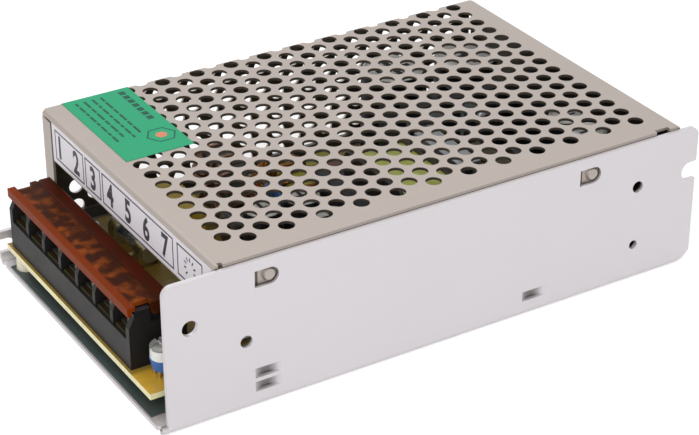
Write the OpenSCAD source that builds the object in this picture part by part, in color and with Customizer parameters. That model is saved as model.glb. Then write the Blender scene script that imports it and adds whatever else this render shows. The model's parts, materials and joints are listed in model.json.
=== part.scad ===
// Enclosed switching power supply in a folded aluminium case.
// X runs from the terminal end (front, -X) to the closed end (rear, +X).
// Y runs from the solid side wall (near, -Y) to the perforated side wall (far, +Y).
// The origin is at the middle of the footprint, on the surface the case stands on.

/* [Case] */
// Length of the chassis, front edge to rear edge
case_l = 159; // [158:1:200]
// Width over both side walls
case_w = 98; // [97:1:130]
// Height to the top of the cover
case_h = 42; // [42:1:60]
// Sheet thickness of the chassis
chassis_t = 1.2; // [1:0.1:1.6]
// Outside bend radius of the chassis
chassis_bend = 2.4; // [2:0.1:3]
// Height of the chassis flange on the far side
far_flange_h = 9.5; // [8:0.5:12]
// How far the side wall stops below the top of the cover
wall_drop = 0.9; // [0.3:0.1:1]
// Length of chassis that stands in front of the cover
front_ledge = 15.4; // [15:0.2:20]
// Length of chassis that stands behind the cover
rear_ledge = 5.2; // [4:0.2:6]

/* [Cover] */
// Sheet thickness of the cover
cover_t = 0.8; // [0.6:0.1:1]
// Outside bend radius of the cover
cover_bend = 1.2; // [1.1:0.1:1.8]
// Clearance between the cover and the chassis it slides into
sheet_gap = 0.1; // [0.05:0.05:0.2]
// Diameter of each round perforation
hole_d = 4.2; // [3:0.1:4.6]
// Distance between neighbouring perforations
hole_pitch = 6.1; // [5.6:0.1:8]
// Plain margin before the first column of perforations
margin_x = 8.2; // [6:0.2:12]
// Plain margin before the first row of perforations
margin_y = 8.3; // [6:0.1:12]
// Depth of the front lip that carries the label
lip_h = 12.7; // [10:0.1:16]
// Width of the return flange at the far front corner
return_w = 5.9; // [5:0.1:8]
// Depth of the flange that tucks inside the near wall
tuck_h = 9; // [8:0.5:12]

/* [Fixing holes] */
// Height of the front hole and the rear notch in the near wall
side_fix_z = 28.3; // [24:0.1:32]
// Diameter of the round clearance hole at the front
side_hole_d = 4.2; // [3.5:0.1:5]
// Width of the open notches
notch_w = 5.2; // [4.5:0.1:6]
// Depth of the open notches
notch_depth = 4.7; // [3:0.1:6]
// Bore of the tapped M4 holes
tapped_m4 = 3.3; // [3.1:0.05:3.6]
// Bore of the tapped M3 holes
tapped_m3 = 2.5; // [2.3:0.05:2.8]
// Length of the bottom bolt rectangle
base_bolt_x = 110; // [90:1:130]
// Width of the bottom bolt rectangle
base_bolt_y = 55; // [40:1:70]

/* [Circuit board] */
// Thickness of the circuit board
board_t = 1.6; // [1:0.1:2]
// Height of the posts that carry the board
post_h = 4.2; // [3.6:0.1:6]
// Gap from the near wall to the board
board_near_gap = 7.8; // [7:0.1:9]
// Gap from the far flange to the board
board_far_gap = 2.4; // [2:0.1:3]
// How far the board's front edge stands back from the chassis edge
board_setback = 1.1; // [0.5:0.1:1.4]
// Gap from the board to the cover's rear wall
board_rear_gap = 2.5; // [1:0.1:3.5]

/* [Terminal block] */
// Number of terminals
poles = 7; // [5:1:7]
// Length of board left beside the block for the trimmer and the indicator
trimmer_bay = 11.8; // [11.2:0.1:16]
// Depth of the block, front to rear
block_d = 15.7; // [15.4:0.1:17]
// Height of the block's solid front band
band_h = 8; // [7:0.1:9]
// Height from the board to the top of the flap
block_h = 17.5; // [17:0.1:19]
// Thickness of the walls between the bays
rib_t = 1.6; // [1.2:0.1:2]
// Thickness of the block's end walls
block_end_t = 1.8; // [1.6:0.1:2.4]
// Thickness of the flap
flap_t = 1.2; // [1:0.1:1.5]
// Radius of the flap's hinge pins
hinge_r = 0.75; // [0.6:0.05:0.9]
// Radial clearance round the hinge pins
hinge_gap = 0.08; // [0.05:0.01:0.1]

/* [Trimmer and indicator] */
// Diameter of the trimmer's body
trimmer_d = 6.5; // [6:0.1:7.5]
// Height of the trimmer's body above the board
trimmer_lift = 2; // [1.5:0.1:4]
// Diameter of the indicator's lens
led_d = 3; // [3:1:5]

/* [Power parts] */
// Diameter of the two bulk capacitors
bulk_d = 18; // [16:0.5:18]
// Height of the two bulk capacitors
bulk_h = 29; // [25:0.5:31]
// Length of the transformer's core, along the case
core_l = 28; // [26:0.5:29]
// Width of the transformer's core, across the case
core_w = 39; // [36:0.5:40]
// Depth of the transformer's core
core_d = 13; // [11:0.5:14]
// Outer diameter of the output choke's core
choke_d = 22; // [20:0.5:22.5]
// Width of the output choke's core
choke_w = 8; // [7:0.5:9.5]
// Number of turns on the output choke
choke_turns = 20; // [14:1:22]
// Diameter of the output capacitors
output_cap_d = 10; // [8:0.5:10.5]
// Height of the output capacitors
output_cap_h = 26; // [20:0.5:30]
// Height of the heatsinks above the board
sink_h = 27; // [24:0.5:30]

/* [Hidden] */
eps = 0.01;
$fn = 48;

// Case planes
x_front = -case_l / 2;
x_rear = case_l / 2;
y_near = -case_w / 2;
y_far = case_w / 2;
floor_z = chassis_t;
near_in = y_near + chassis_t;
chassis_far = y_far - cover_t - sheet_gap;
far_in = chassis_far - chassis_t;
wall_top = case_h - wall_drop;
cover_x0 = x_front + front_ledge;
cover_x1 = x_rear - rear_ledge;
cover_near = near_in + sheet_gap;
chassis_bend_in = chassis_bend - chassis_t;
cover_bend_in = cover_bend - cover_t;

// Extrudes a section drawn in Y and Z along X
module along_x(x0, x1) {
    translate([x0, 0, 0]) rotate([90, 0, 90]) linear_extrude(x1 - x0) children();
}

// Extrudes a section drawn in X and Z along Y
module along_y(y0, y1) {
    translate([0, y1, 0]) rotate([90, 0, 0]) linear_extrude(y1 - y0) children();
}

// Extrudes a section drawn in X and Y along Z
module along_z(z0, z1) {
    translate([0, 0, z0]) linear_extrude(z1 - z0) children();
}

// Axis-aligned box from one corner to the other
module span(a, b) {
    translate(a) cube(b - a);
}

// Rectangle with its two lower corners rounded
module tub2d(a0, b0, a1, b1, r) {
    translate([a0 + r, b0]) square([a1 - a0 - 2 * r, b1 - b0]);
    translate([a0, b0 + r]) square([a1 - a0, b1 - b0 - r]);
    for (a = [a0 + r, a1 - r]) translate([a, b0 + r]) circle(r);
}

// Rectangle with all four corners rounded
module pill2d(a0, b0, a1, b1, r) {
    translate([a0 + r, b0]) square([a1 - a0 - 2 * r, b1 - b0]);
    translate([a0, b0 + r]) square([a1 - a0, b1 - b0 - 2 * r]);
    for (a = [a0 + r, a1 - r], b = [b0 + r, b1 - r]) translate([a, b]) circle(r);
}

// ---------------------------------------------------------------- chassis
notch_r = notch_w / 2;
window_w = 6.6;
window_h = 4.5;
window_x = [-50.8, 44.4];
window_z = case_h - 6;
lance_w = 7.2;
lance_h = 2.8;
lance_bow = 1.5;
lances = [[-50.9, 4.6], [-50.9, 8.4], [27.9, 4.7]];
side_hole_x = x_front + 7.9;
tapped_side = [[-56.7, 19.7], [60.2, side_fix_z]];
tapped_small = [60, 11];
corner_cut = 3.8;
wall_setback = 1.2;
corner_r = 2.6;
far_notch_z = 5.3;
far_notch_w = 4;
far_notch_depth = 4;
cover_screw_x = [x_front + 39.5, x_rear - 29.5];
cover_screw_z = far_flange_h / 2 + 0.4;
cover_screw_d = 3;
cover_screw_head = 5;
countersink = (cover_screw_head - cover_screw_d) / 2;

// Window with one straight end and one round end
module window2d() {
    r = window_h / 2;
    translate([-window_w / 2, -r]) square([window_w - r, window_h]);
    translate([window_w / 2 - r, 0]) circle(r);
}

// Strip pressed inwards between two slits
module lance_strip(x, z) {
    r = (pow(lance_w / 2, 2) + pow(lance_bow, 2)) / (2 * lance_bow);
    translate([x, y_near, z]) linear_extrude(lance_h) intersection() {
        translate([0, lance_bow - r]) difference() {
            circle(r + chassis_t);
            circle(r);
        }
        translate([-lance_w / 2 - chassis_t, 0]) square([lance_w + 2 * chassis_t, lance_bow + chassis_t]);
    }
}

// Countersunk holes through the far wall and the flange behind it
module cover_screw_holes() {
    for (x = cover_screw_x) translate([x, y_far, cover_screw_z]) rotate([90, 0, 0]) {
        translate([0, 0, -eps])
            cylinder(r1 = cover_screw_head / 2 + eps, r2 = cover_screw_d / 2, h = countersink + eps);
        cylinder(d = cover_screw_d, h = 4);
    }
}

module chassis_section() {
    difference() {
        tub2d(y_near, 0, chassis_far, wall_top, chassis_bend);
        tub2d(near_in, chassis_t, far_in, wall_top + 1, chassis_bend_in);
        translate([far_in - 1, far_flange_h]) square([chassis_t + 2, wall_top]);
    }
}

module base_chassis() {
    relief_r = 0.8;
    color("#d8d5d8") {
        difference() {
            along_x(x_front, x_rear) chassis_section();
            // near wall starts behind the floor's front edge
            span([x_front - 1, y_near - 1, chassis_bend],
                [x_front + wall_setback, near_in + eps, case_h]);
            // rounded upper corners of the near wall
            translate([x_front + wall_setback, 0, wall_top]) corner_waste(corner_r);
            translate([x_rear, 0, wall_top]) mirror([1, 0, 0]) corner_waste(corner_r);
            // bevelled lower rear corner of the near wall
            translate([0, y_near + chassis_bend, 0]) rotate([90, 0, 0]) linear_extrude(chassis_bend + 1)
                polygon([[x_rear + 1, -1], [x_rear - corner_cut - 1, -1], [x_rear + 1, corner_cut + 1]]);
            // round hole at the front and open notch at the rear of the near wall
            along_y(y_near - 1, near_in + 1) {
                translate([side_hole_x, side_fix_z]) circle(d = side_hole_d);
                translate([x_rear - notch_depth + notch_r, side_fix_z]) circle(notch_r);
                translate([x_rear - notch_depth + notch_r, side_fix_z - notch_r])
                    square([notch_depth, notch_w]);
                for (x = window_x) translate([x, window_z]) window2d();
                for (l = lances) translate([l[0] - lance_w / 2, l[1]]) square([lance_w, lance_h]);
            }
            along_y(y_near - 1, near_in + 1) {
                for (h = tapped_side) translate(h) circle(d = tapped_m4);
                translate(tapped_small) circle(d = tapped_m3);
            }
            // open notch at the front of the far flange
            along_y(far_in - 1, chassis_far + 1) {
                translate([x_front + far_notch_depth - far_notch_w / 2, far_notch_z])
                    circle(d = far_notch_w);
                translate([x_front - 1, far_notch_z - far_notch_w / 2])
                    square([far_notch_depth - far_notch_w / 2 + 1, far_notch_w]);
            }
            // bend reliefs at the ends of both folds
            for (x = [x_front, x_rear])
                for (y = [near_in + chassis_bend_in + relief_r, far_in - chassis_bend_in - relief_r])
                    translate([x, y, -1]) cylinder(r = relief_r, h = chassis_t + 2);
            cover_screw_holes();
            // tapped bolt rectangle in the base
            for (x = [-1, 1] * base_bolt_x / 2, y = [-1, 1] * base_bolt_y / 2)
                translate([x, y, -1]) cylinder(d = tapped_m4, h = chassis_t + 2);
        }
        for (l = lances) lance_strip(l[0], l[1]);
    }
}

// Waste outside a rounded upper corner at the wall's front top
module corner_waste(r) {
    along_y(y_near - 1, near_in + 1) difference() {
        translate([-1, -r]) square([r + 1, r + 1]);
        translate([r, -r]) circle(r);
    }
}

// ------------------------------------------------------------------ cover
col_pitch = hole_pitch * sqrt(3) / 2;
cols = floor((cover_x1 - cover_x0 - 2 * margin_x) / col_pitch) + 1;
col_x0 = (cover_x0 + cover_x1 - (cols - 1) * col_pitch) / 2;
row_y0 = cover_near + margin_y;
top_flat_end = y_far - cover_bend;
wall_flat_top = case_h - cover_bend;
bend_arc = (cover_bend - cover_t / 2) * PI / 2;
cover_foot = 0.8;
row_floor = margin_y;
row_count = floor((top_flat_end + bend_arc + wall_flat_top - row_floor - row_y0) / hole_pitch) + 1;
near_flange_x0 = cover_x0 + 2.4;
near_flange_x1 = cover_x1 - 7.8;
lip_far = y_far - return_w - 0.9;
return_foot = 9.8;
slot_w = 0.7;

// Distance of a perforation along the unfolded sheet, as a Y coordinate
function row_s(col, row) = row_y0 + (row + (col % 2 == 0 ? 0.5 : 0)) * hole_pitch;
// Height of a perforation that falls on the far wall
function wall_z(s) = wall_flat_top - (s - top_flat_end - bend_arc);

// True where a perforation leaves metal round both cover screws
function clear_of_screws(x, z) =
    min([for (sx = cover_screw_x) norm([x - sx, z - cover_screw_z])])
        > (hole_d + cover_screw_head) / 2 + 0.8;

// Perforations that fall on the top, the far fold and the far wall
module perforations() {
    r = hole_d / 2;
    along_z(case_h - cover_t - 1, case_h + 1)
        for (c = [0 : cols - 1], k = [0 : row_count - 1])
            if (row_s(c, k) + r < top_flat_end + 0.2)
                translate([col_x0 + c * col_pitch, row_s(c, k)]) circle(r);
    along_y(y_far - cover_t - 1, y_far + 1)
        for (c = [0 : cols - 1], k = [0 : row_count - 1])
            if (wall_z(row_s(c, k)) + r < wall_flat_top + 0.2 && wall_z(row_s(c, k)) > row_floor
                && clear_of_screws(col_x0 + c * col_pitch, wall_z(row_s(c, k))))
                translate([col_x0 + c * col_pitch, wall_z(row_s(c, k))]) circle(r);
    for (c = [0 : cols - 1], k = [0 : row_count - 1]) {
        s = row_s(c, k);
        x = col_x0 + c * col_pitch;
        if (s + r >= top_flat_end + 0.2 && wall_z(s) + r >= wall_flat_top + 0.2) {
            translate([x, s, wall_flat_top]) cylinder(r = r, h = cover_bend + 1);
            translate([x, y_far + 1, wall_z(s)]) rotate([90, 0, 0]) cylinder(r = r, h = cover_bend + 1);
        }
    }
}

// Cross-section through the top, the far wall and the near flange
module cover_section() {
    difference() {
        translate([0, case_h]) mirror([0, 1])
            tub2d(cover_near, 0, y_far, case_h - cover_foot, cover_bend);
        translate([0, case_h]) mirror([0, 1])
            tub2d(cover_near + cover_t, cover_t, y_far - cover_t, case_h, cover_bend_in);
        translate([cover_near - 1, 0]) square([cover_t + 2, case_h - tuck_h]);
    }
}

// Lengthwise section through the top, the front lip and the rear wall
module cover_long_section() {
    difference() {
        translate([0, case_h]) mirror([0, 1])
            tub2d(cover_x0, 0, cover_x1, case_h - floor_z - sheet_gap, cover_bend);
        translate([0, case_h]) mirror([0, 1])
            tub2d(cover_x0 + cover_t, cover_t, cover_x1 - cover_t, case_h, cover_bend_in);
        translate([cover_x0 - 1, 0]) square([cover_t + 2, case_h - lip_h]);
    }
}

// Button on the near flange that snaps into a window of the wall
module latch_button(x) {
    r = window_h / 2 - 0.35;
    translate([x + window_w / 2 - window_h / 2, cover_near + cover_t / 2, window_z]) rotate([90, 0, 0]) {
        cylinder(r = r, h = cover_t / 2);
        translate([0, 0, cover_t / 2 - eps]) cylinder(r1 = r, r2 = r - 0.5, h = 0.9);
    }
}

module mesh_cover() {
    color("#bdb6ae") difference() {
        union() {
            // top with the far wall and the near flange
            along_x(cover_x0 + cover_bend, cover_x1 - cover_bend) cover_section();
            // front lip and rear wall
            along_y(cover_near + 0.1, y_far - cover_bend) cover_long_section();
            // far wall past the folds, and its return flange
            along_z(return_foot, case_h - cover_bend - slot_w) return_section();
            for (x = window_x) latch_button(x);
        }
        perforations();
        cover_screw_holes();
        // slit between the lip and the return flange
        span([cover_x0 - 1, lip_far, return_foot - 1],
            [cover_x0 + cover_bend + 1, y_far - return_w, case_h - cover_bend]);
        // lip stops short of the far wall
        span([cover_x0 - 1, y_far - return_w - eps, case_h - cover_bend - slot_w],
            [cover_x0 + cover_bend, y_far + 1, case_h - cover_bend]);
        // rear wall clears the low flange and the inside of the chassis bend
        span([cover_x1 - cover_t - 1, far_in - sheet_gap, 0],
            [cover_x1 + 1, y_far - cover_t, far_flange_h + sheet_gap]);
        span([cover_x1 - cover_t - 1, near_in - 1, 0],
            [cover_x1 + 1, near_in + chassis_bend, chassis_bend + 0.1]);
        // near flange stops short of the front and rear corners
        for (e = [[cover_x0 + cover_bend, near_flange_x0], [near_flange_x1, cover_x1 - cover_bend - 2.4]])
            span([e[0], cover_near - 1, 0], [e[1], cover_near + cover_bend, case_h + 1]);
    }
}

// Plan section of the far wall's front end folded round into the return flange
module return_section() {
    difference() {
        union() {
            translate([cover_x0 + cover_bend, y_far - cover_bend]) circle(cover_bend);
            translate([cover_x0 + cover_bend, y_far - cover_t]) square([2, cover_t]);
            translate([cover_x0, y_far - return_w]) square([cover_t, return_w - cover_bend]);
        }
        translate([cover_x0 + cover_bend, y_far - cover_bend]) circle(cover_bend_in);
        translate([cover_x0 + cover_t, y_far - return_w - 1]) square([3, return_w + 1 - cover_bend]);
        translate([cover_x0 + cover_bend, y_far - return_w - 1]) square([3, return_w + 1 - cover_t]);
    }
}

// --------------------------------------------------------- board and seats
board_x0 = x_front + board_setback;
board_x1 = cover_x1 - cover_t - board_rear_gap;
board_y0 = near_in + board_near_gap;
board_y1 = far_in - board_far_gap;
board_z0 = floor_z + post_h;
board_top = board_z0 + board_t;
sheet_t = 0.3;
film_t = 0.15;
screw_d = 3;
screw_head = 5.6;
screw_head_h = 2;
post_d = 6;
run_gap = 0.1;
posts = [[board_x0 + 19.4, board_y0 + 4], [board_x0 + 22.4, board_y1 - 4.5],
         [board_x1 - 5, board_y0 + 4], [board_x1 - 5, board_y1 - 4.5]];
supports = [[board_x0 + 12, board_y0 + 10], [board_x0 + 3.4, board_y1 - 5]];

// Place on the board, as shares of its length and width
function on_board(u, v) = [board_x0 + u * (board_x1 - board_x0), board_y0 + v * (board_y1 - board_y0)];

// Copies its children to each point of a list, at one height
module each_at(points, z) {
    for (p = points) translate([p[0], p[1], z]) children();
}

// Box with its base on a height, centred on a point
module block_at(p, size, z) {
    translate([p[0] - size[0] / 2, p[1] - size[1] / 2, z]) cube(size);
}

// Crossed recess for a screwdriver, cut down from the origin
module cross_recess(d, depth) {
    for (a = [0, 90]) rotate([0, 0, a]) translate([-d / 2, -d / 12, -depth]) cube([d, d / 6, depth + 1]);
}

// Pan head screw standing on the origin, its shank going down
module pan_screw(head_d, head_h, shank_d, shank_l) {
    difference() {
        rotate_extrude() polygon([[0, -shank_l], [shank_d / 2, -shank_l], [shank_d / 2, 0],
            [head_d / 2, 0], [head_d / 2, head_h * 0.5], [head_d * 0.44, head_h * 0.8],
            [head_d * 0.3, head_h], [0, head_h]]);
        translate([0, 0, head_h]) cross_recess(head_d * 0.62, head_h * 0.5);
    }
}

module cover_screws() {
    inset = 0.05;
    color("#b9bcc0") for (x = cover_screw_x)
        translate([x, y_far - inset, cover_screw_z]) rotate([90, 0, 0]) difference() {
            union() {
                cylinder(r1 = cover_screw_head / 2 - inset, r2 = cover_screw_d / 2 - inset,
                    h = countersink);
                cylinder(d = cover_screw_d - 2 * inset, h = cover_t + sheet_gap + chassis_t + 1);
            }
            mirror([0, 0, 1]) cross_recess(2.6, 0.7);
        }
}

module label_strip() {
    color("#e9e6ee") span([cover_x0 - film_t, cover_near + 1.2, case_h - lip_h + 0.5],
        [cover_x0, lip_far - 0.5, case_h - cover_bend - 0.1]);
}

sticker_x = [cover_x0 + 5.9, cover_x0 + 25.3];
sticker_y0 = y_far - 39.4;
sticker_wrap = 62;

// Cross-section of the film where it follows the fold
module sticker_fold() {
    reach = 2 * cover_bend;
    intersection() {
        difference() {
            circle(cover_bend + film_t);
            circle(cover_bend);
        }
        polygon([[0, 0], [0, reach], [reach, reach],
            [reach, reach * cos(sticker_wrap) / sin(sticker_wrap)]]);
    }
}

module top_sticker() {
    color("#37b48c") along_x(sticker_x[0], sticker_x[1]) {
        translate([sticker_y0, case_h]) square([top_flat_end - sticker_y0, film_t]);
        translate([top_flat_end, wall_flat_top]) sticker_fold();
    }
}

module insulating_sheet() {
    color("#3a4646") difference() {
        span([x_front + 0.5, near_in + 6.8, floor_z],
            [cover_x1 - cover_t - 0.4, far_in - 5.2, floor_z + sheet_t]);
        each_at(concat(posts, supports), 0) cylinder(d = post_d + 0.6, h = board_z0);
        each_at([for (x = [-1, 1], y = [-1, 1]) [x * base_bolt_x / 2, y * base_bolt_y / 2]], 0)
            cylinder(d = tapped_m4 + 3, h = board_z0);
    }
}

module board_posts() {
    color("#c9ccd0") each_at(posts, floor_z) difference() {
        cylinder(d = post_d, h = post_h);
        cylinder(d = screw_d + run_gap, h = post_h + 1);
    }
}

module board_supports() {
    color("#e8e4d2") each_at(supports, floor_z) cylinder(d = post_d, h = post_h);
}

module board_screws() {
    color("#c4c7cb") each_at(posts, board_top)
        pan_screw(screw_head, screw_head_h, screw_d, board_t + post_h - 0.5);
}

module circuit_board() {
    color("#b98f2c") difference() {
        span([board_x0, board_y0, board_z0], [board_x1, board_y1, board_top]);
        each_at(posts, board_z0 - 1) cylinder(d = screw_d + 0.3, h = board_t + 2);
        // isolation slots between the mains side and the output side
        along_z(board_z0 - 1, board_top + 1) {
            translate(on_board(0.585, 0.485)) pill2d(0, 0, 22, 1.6, 0.79);
            translate(on_board(0.12, 0.728)) pill2d(0, 0, 14, 1.6, 0.79);
        }
    }
}

// ---------------------------------------------------------- terminal block
block_x0 = board_x0 + 0.8;
block_x1 = block_x0 + block_d;
block_y1 = y_far - return_w - 0.3;
end_over = 0.5;
block_y0 = board_y0 + trimmer_bay;
pole_pitch = (block_y1 - block_y0 - 2 * end_over) / poles;
bay_floor = board_top + band_h;
deck_z = bay_floor + 4;
flap_top = board_top + block_h;
flap_under = flap_top - flap_t;
rib_top = flap_under - 0.3;
bay_x1 = block_x0 + 9.6;
lug_r = hinge_r + hinge_gap + 0.4;
hinge_x = block_x0 + 10.2;
hinge_z = flap_under - lug_r - 0.1;
ear_t = 1;
ear_front = 3.9;
ear_rear = 1.8;
ear_drop = 1.2;
recess_front = ear_front + 0.4;
flap_front = block_x0 - 0.1;
flap_rear = hinge_x + 2.2;
lug_x = [block_x0 + 2.5, hinge_x - recess_front];
contact_w = pole_pitch + 2 * (end_over - block_end_t) - 0.2;
contact_t = 0.8;
contact_top = bay_floor + contact_t;
washer_t = 0.6;
washer_w = contact_w - 0.2;
pole_x = block_x0 + 5.8;
pole_head = washer_w - 0.5;
pole_screw_d = 3.5;
pole_screw_l = 6;
tail_x = bay_x1 - 0.9;
tail_w = 3;
hollow_w = 6.4;
hollow_wall = 1.4;

function pole_y(k) = block_y0 + end_over + (k + 0.5) * pole_pitch;
function rib_y(k) = block_y0 + end_over + k * pole_pitch;

// Side outline of a wall between two bays, from a front edge to the hinge line
module rib_outline(x0, x1) {
    polygon([[x0, board_top], [x0, bay_floor + 3.5], [block_x0 + 1.5, hinge_z - 0.4],
        [block_x0 + 1.5, rib_top - 0.6], [block_x0 + 2.1, rib_top], [x1, rib_top], [x1, board_top]]);
}

module terminal_block() {
    color("#161414") difference() {
        union() {
            // front band and the deck behind the bays
            span([block_x0, block_y0, board_top], [block_x1, block_y1, bay_floor]);
            span([bay_x1, block_y0, bay_floor - 1], [block_x1, block_y1, deck_z]);
            // walls between the bays
            for (k = [1 : poles - 1]) along_y(rib_y(k) - rib_t / 2, rib_y(k) + rib_t / 2)
                rib_outline(block_x0 + 0.4, bay_x1 + 0.6);
            // end walls, each with a lug beside the flap
            for (y = [block_y0, block_y1 - block_end_t]) {
                along_y(y, y + block_end_t) {
                    rib_outline(block_x0, hinge_x);
                    translate([hinge_x, hinge_z]) circle(lug_r);
                    translate([hinge_x - 1, board_top]) square([2.1, hinge_z - board_top]);
                    translate([lug_x[0], rib_top - 1]) square([lug_x[1] - lug_x[0], 1.2]);
                }
            }
        }
        // recesses for the flap's ears
        for (y = [block_y0 - 1, block_y1 - ear_t - run_gap])
            span([hinge_x - recess_front, y, deck_z],
                [block_x1 + 1, y + ear_t + run_gap + 1, flap_top + 1]);
        // hinge sockets
        along_y(block_y0 - 1, block_y1 + 1) translate([hinge_x, hinge_z]) circle(hinge_r + hinge_gap);
        // pockets for the screws and slots for the contact tails
        for (k = [0 : poles - 1]) {
            translate([pole_x, pole_y(k), bay_floor - 5]) cylinder(d = pole_screw_d + 0.6, h = 6);
            span([tail_x - run_gap, pole_y(k) - tail_w / 2 - run_gap, board_top - 1],
                 [tail_x + contact_t + run_gap, pole_y(k) + tail_w / 2 + run_gap, bay_floor + 1]);
        }
        // hollows that lighten the underside behind the front band
        for (k = [0 : poles - 1])
            span([tail_x + contact_t + 1, pole_y(k) - hollow_w / 2, board_top - 1],
                [block_x1 - hollow_wall, pole_y(k) + hollow_w / 2, bay_floor - hollow_wall]);
    }
}

module terminal_contacts() {
    color("#c9c4b4") for (k = [0 : poles - 1]) {
        difference() {
            span([block_x0 + 0.8, pole_y(k) - contact_w / 2, bay_floor],
                [tail_x + contact_t, pole_y(k) + contact_w / 2, contact_top]);
            translate([pole_x, pole_y(k), bay_floor - 1]) cylinder(d = pole_screw_d + 0.3, h = 3);
        }
        span([tail_x, pole_y(k) - tail_w / 2, board_top],
            [tail_x + contact_t, pole_y(k) + tail_w / 2, bay_floor]);
    }
}

module terminal_washers() {
    color("#d3cfc2") for (k = [0 : poles - 1]) translate([pole_x, pole_y(k), contact_top]) difference() {
        translate([-washer_w / 2, -washer_w / 2, 0]) cube([washer_w, washer_w, washer_t]);
        translate([0, 0, -1]) cylinder(d = pole_screw_d + 0.3, h = 3);
    }
}

module terminal_screws() {
    color("#cfcabb") for (k = [0 : poles - 1]) translate([pole_x, pole_y(k), contact_top + washer_t])
        pan_screw(pole_head, 2.3, pole_screw_d, pole_screw_l);
}

// Side outline of the flap: front lip, flat top, groove and rounded rear edge
module flap_outline() {
    r = flap_t / 2;
    step = hinge_x - 1.6;
    difference() {
        union() {
            translate([flap_front, hinge_z + 0.1]) square([1.2, flap_top - hinge_z - 0.1]);
            translate([flap_front, flap_under]) square([flap_rear - r - flap_front, flap_t]);
            translate([flap_rear - r, flap_under + r]) circle(r);
        }
        translate([step, flap_top + 0.15]) circle(0.5);
        translate([flap_front - 1, flap_top - 0.4]) rotate(45) square(1);
    }
}

module terminal_flap() {
    color("#9c431a") {
        difference() {
            along_y(block_y0, block_y1) flap_outline();
            // notches round the lugs of the end walls
            for (y = [block_y0 - 1, block_y1 - block_end_t - 0.2])
                span([lug_x[0] - 0.5, y, hinge_z],
                    [hinge_x - ear_front, y + block_end_t + 1.2, flap_top + 1]);
        }
        for (m = [0, 1]) translate([0, (block_y0 + block_y1) / 2, 0]) mirror([0, m, 0])
            flap_ear((block_y1 - block_y0) / 2);
    }
}

// Ear with its hinge pin, at one end of the flap
module flap_ear(half) {
    x0 = hinge_x - ear_front;
    x1 = hinge_x + ear_rear;
    z0 = hinge_z - ear_drop;
    cut = 0.8;
    along_y(-half, -half + ear_t)
        polygon([[x0, flap_under + 0.1], [x0, z0 + cut], [x0 + cut, z0], [x1 - cut, z0], [x1, z0 + cut],
            [x1, flap_under + 0.1]]);
    along_y(-half + ear_t - 0.2, -half + block_end_t - 0.05)
        translate([hinge_x, hinge_z]) circle(hinge_r);
}

// ----------------------------------------------------- trimmer, indicator
trimmer_p = [board_x0 + 6.9, board_y0 + 6.6];
trimmer_z = board_top + trimmer_lift;
trimmer_h = 3;
knob_h = 4;
knob_d = trimmer_d - 0.4;
knob_edge = 0.6;
shaft_r = 1.2;
led_p = [board_x0 + 13, board_y0 + 3.4];

module trimmer_body() {
    color("#3c82dc") translate([trimmer_p[0], trimmer_p[1], trimmer_z]) difference() {
        cylinder(d1 = trimmer_d - 1.2, d2 = trimmer_d, h = trimmer_h);
        translate([0, 0, trimmer_h - 1.8]) cylinder(r = shaft_r + 0.06, h = 3);
    }
    color("#3c82dc") for (p = [[-1.6, 1.3], [-1.6, -1.3], [1.8, 0]])
        translate([trimmer_p[0] + p[0], trimmer_p[1] + p[1], board_top])
            cylinder(d = 0.9, h = trimmer_lift + 0.5);
}

module trimmer_knob() {
    color("#ececec") translate([trimmer_p[0], trimmer_p[1], trimmer_z + trimmer_h]) difference() {
        union() {
            translate([0, 0, 0.08]) cylinder(d = knob_d, h = knob_h - knob_edge - 0.08);
            translate([0, 0, knob_h - knob_edge])
                cylinder(d1 = knob_d, d2 = knob_d - 2 * knob_edge, h = knob_edge);
            translate([0, 0, -1.6]) cylinder(r = shaft_r, h = 2);
        }
        translate([0, 0, knob_h]) cross_recess(trimmer_d, 1.2);
    }
}

module indicator_led() {
    color("#59c46b") translate([led_p[0], led_p[1], board_top]) {
        cylinder(d = led_d + 0.8, h = 1);
        cylinder(d = led_d, h = 4);
        translate([0, 0, 4]) sphere(d = led_d);
    }
}

// ------------------------------------------------------- mains side, front
fuse_p = on_board(0.181, 0.74);
fuse_l = 20;
fuse_r = 2.6;
fuse_z = board_top + 4.4;
thermistor_p = on_board(0.22, 0.929);
x_cap_p = on_board(0.2805, 0.793);
snubber_p = on_board(0.861, 0.385);
disc_d = 10;
disc_t = 3.2;

module fuse_glass() {
    wall = 0.6;
    color("#dfe8ea") translate([fuse_p[0], fuse_p[1] - fuse_l / 2 + 0.5, fuse_z]) rotate([-90, 0, 0])
        difference() {
            cylinder(r = fuse_r - 0.3, h = fuse_l - 1);
            translate([0, 0, wall]) cylinder(r = fuse_r - 0.3 - wall, h = fuse_l - 1 - 2 * wall);
        }
}

module fuse_caps() {
    color("#c8cace") for (m = [0, 1]) translate([fuse_p[0], fuse_p[1], fuse_z]) mirror([0, m, 0])
        translate([0, fuse_l / 2, 0]) rotate([90, 0, 0]) difference() {
            cylinder(r = fuse_r, h = 5);
            translate([0, 0, 0.5]) cylinder(r = fuse_r - 0.28, h = 5);
        }
}

module fuse_clips() {
    clip_r = fuse_r + 0.5;
    axis_h = fuse_z - board_top;
    color("#b9a774") for (s = [-1, 1])
        translate([fuse_p[0], fuse_p[1] + s * (fuse_l / 2 - 2.6), board_top]) rotate([90, 0, 0])
            linear_extrude(3.6, center = true) difference() {
                union() {
                    translate([0, axis_h]) circle(clip_r);
                    translate([-clip_r, 0]) square([2 * clip_r, axis_h]);
                }
                translate([0, axis_h]) circle(fuse_r + 0.02);
                translate([-fuse_r, 0.5]) square([2 * fuse_r, 1]);
                translate([-1.9, axis_h]) square([3.8, 5]);
            }
}

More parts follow.
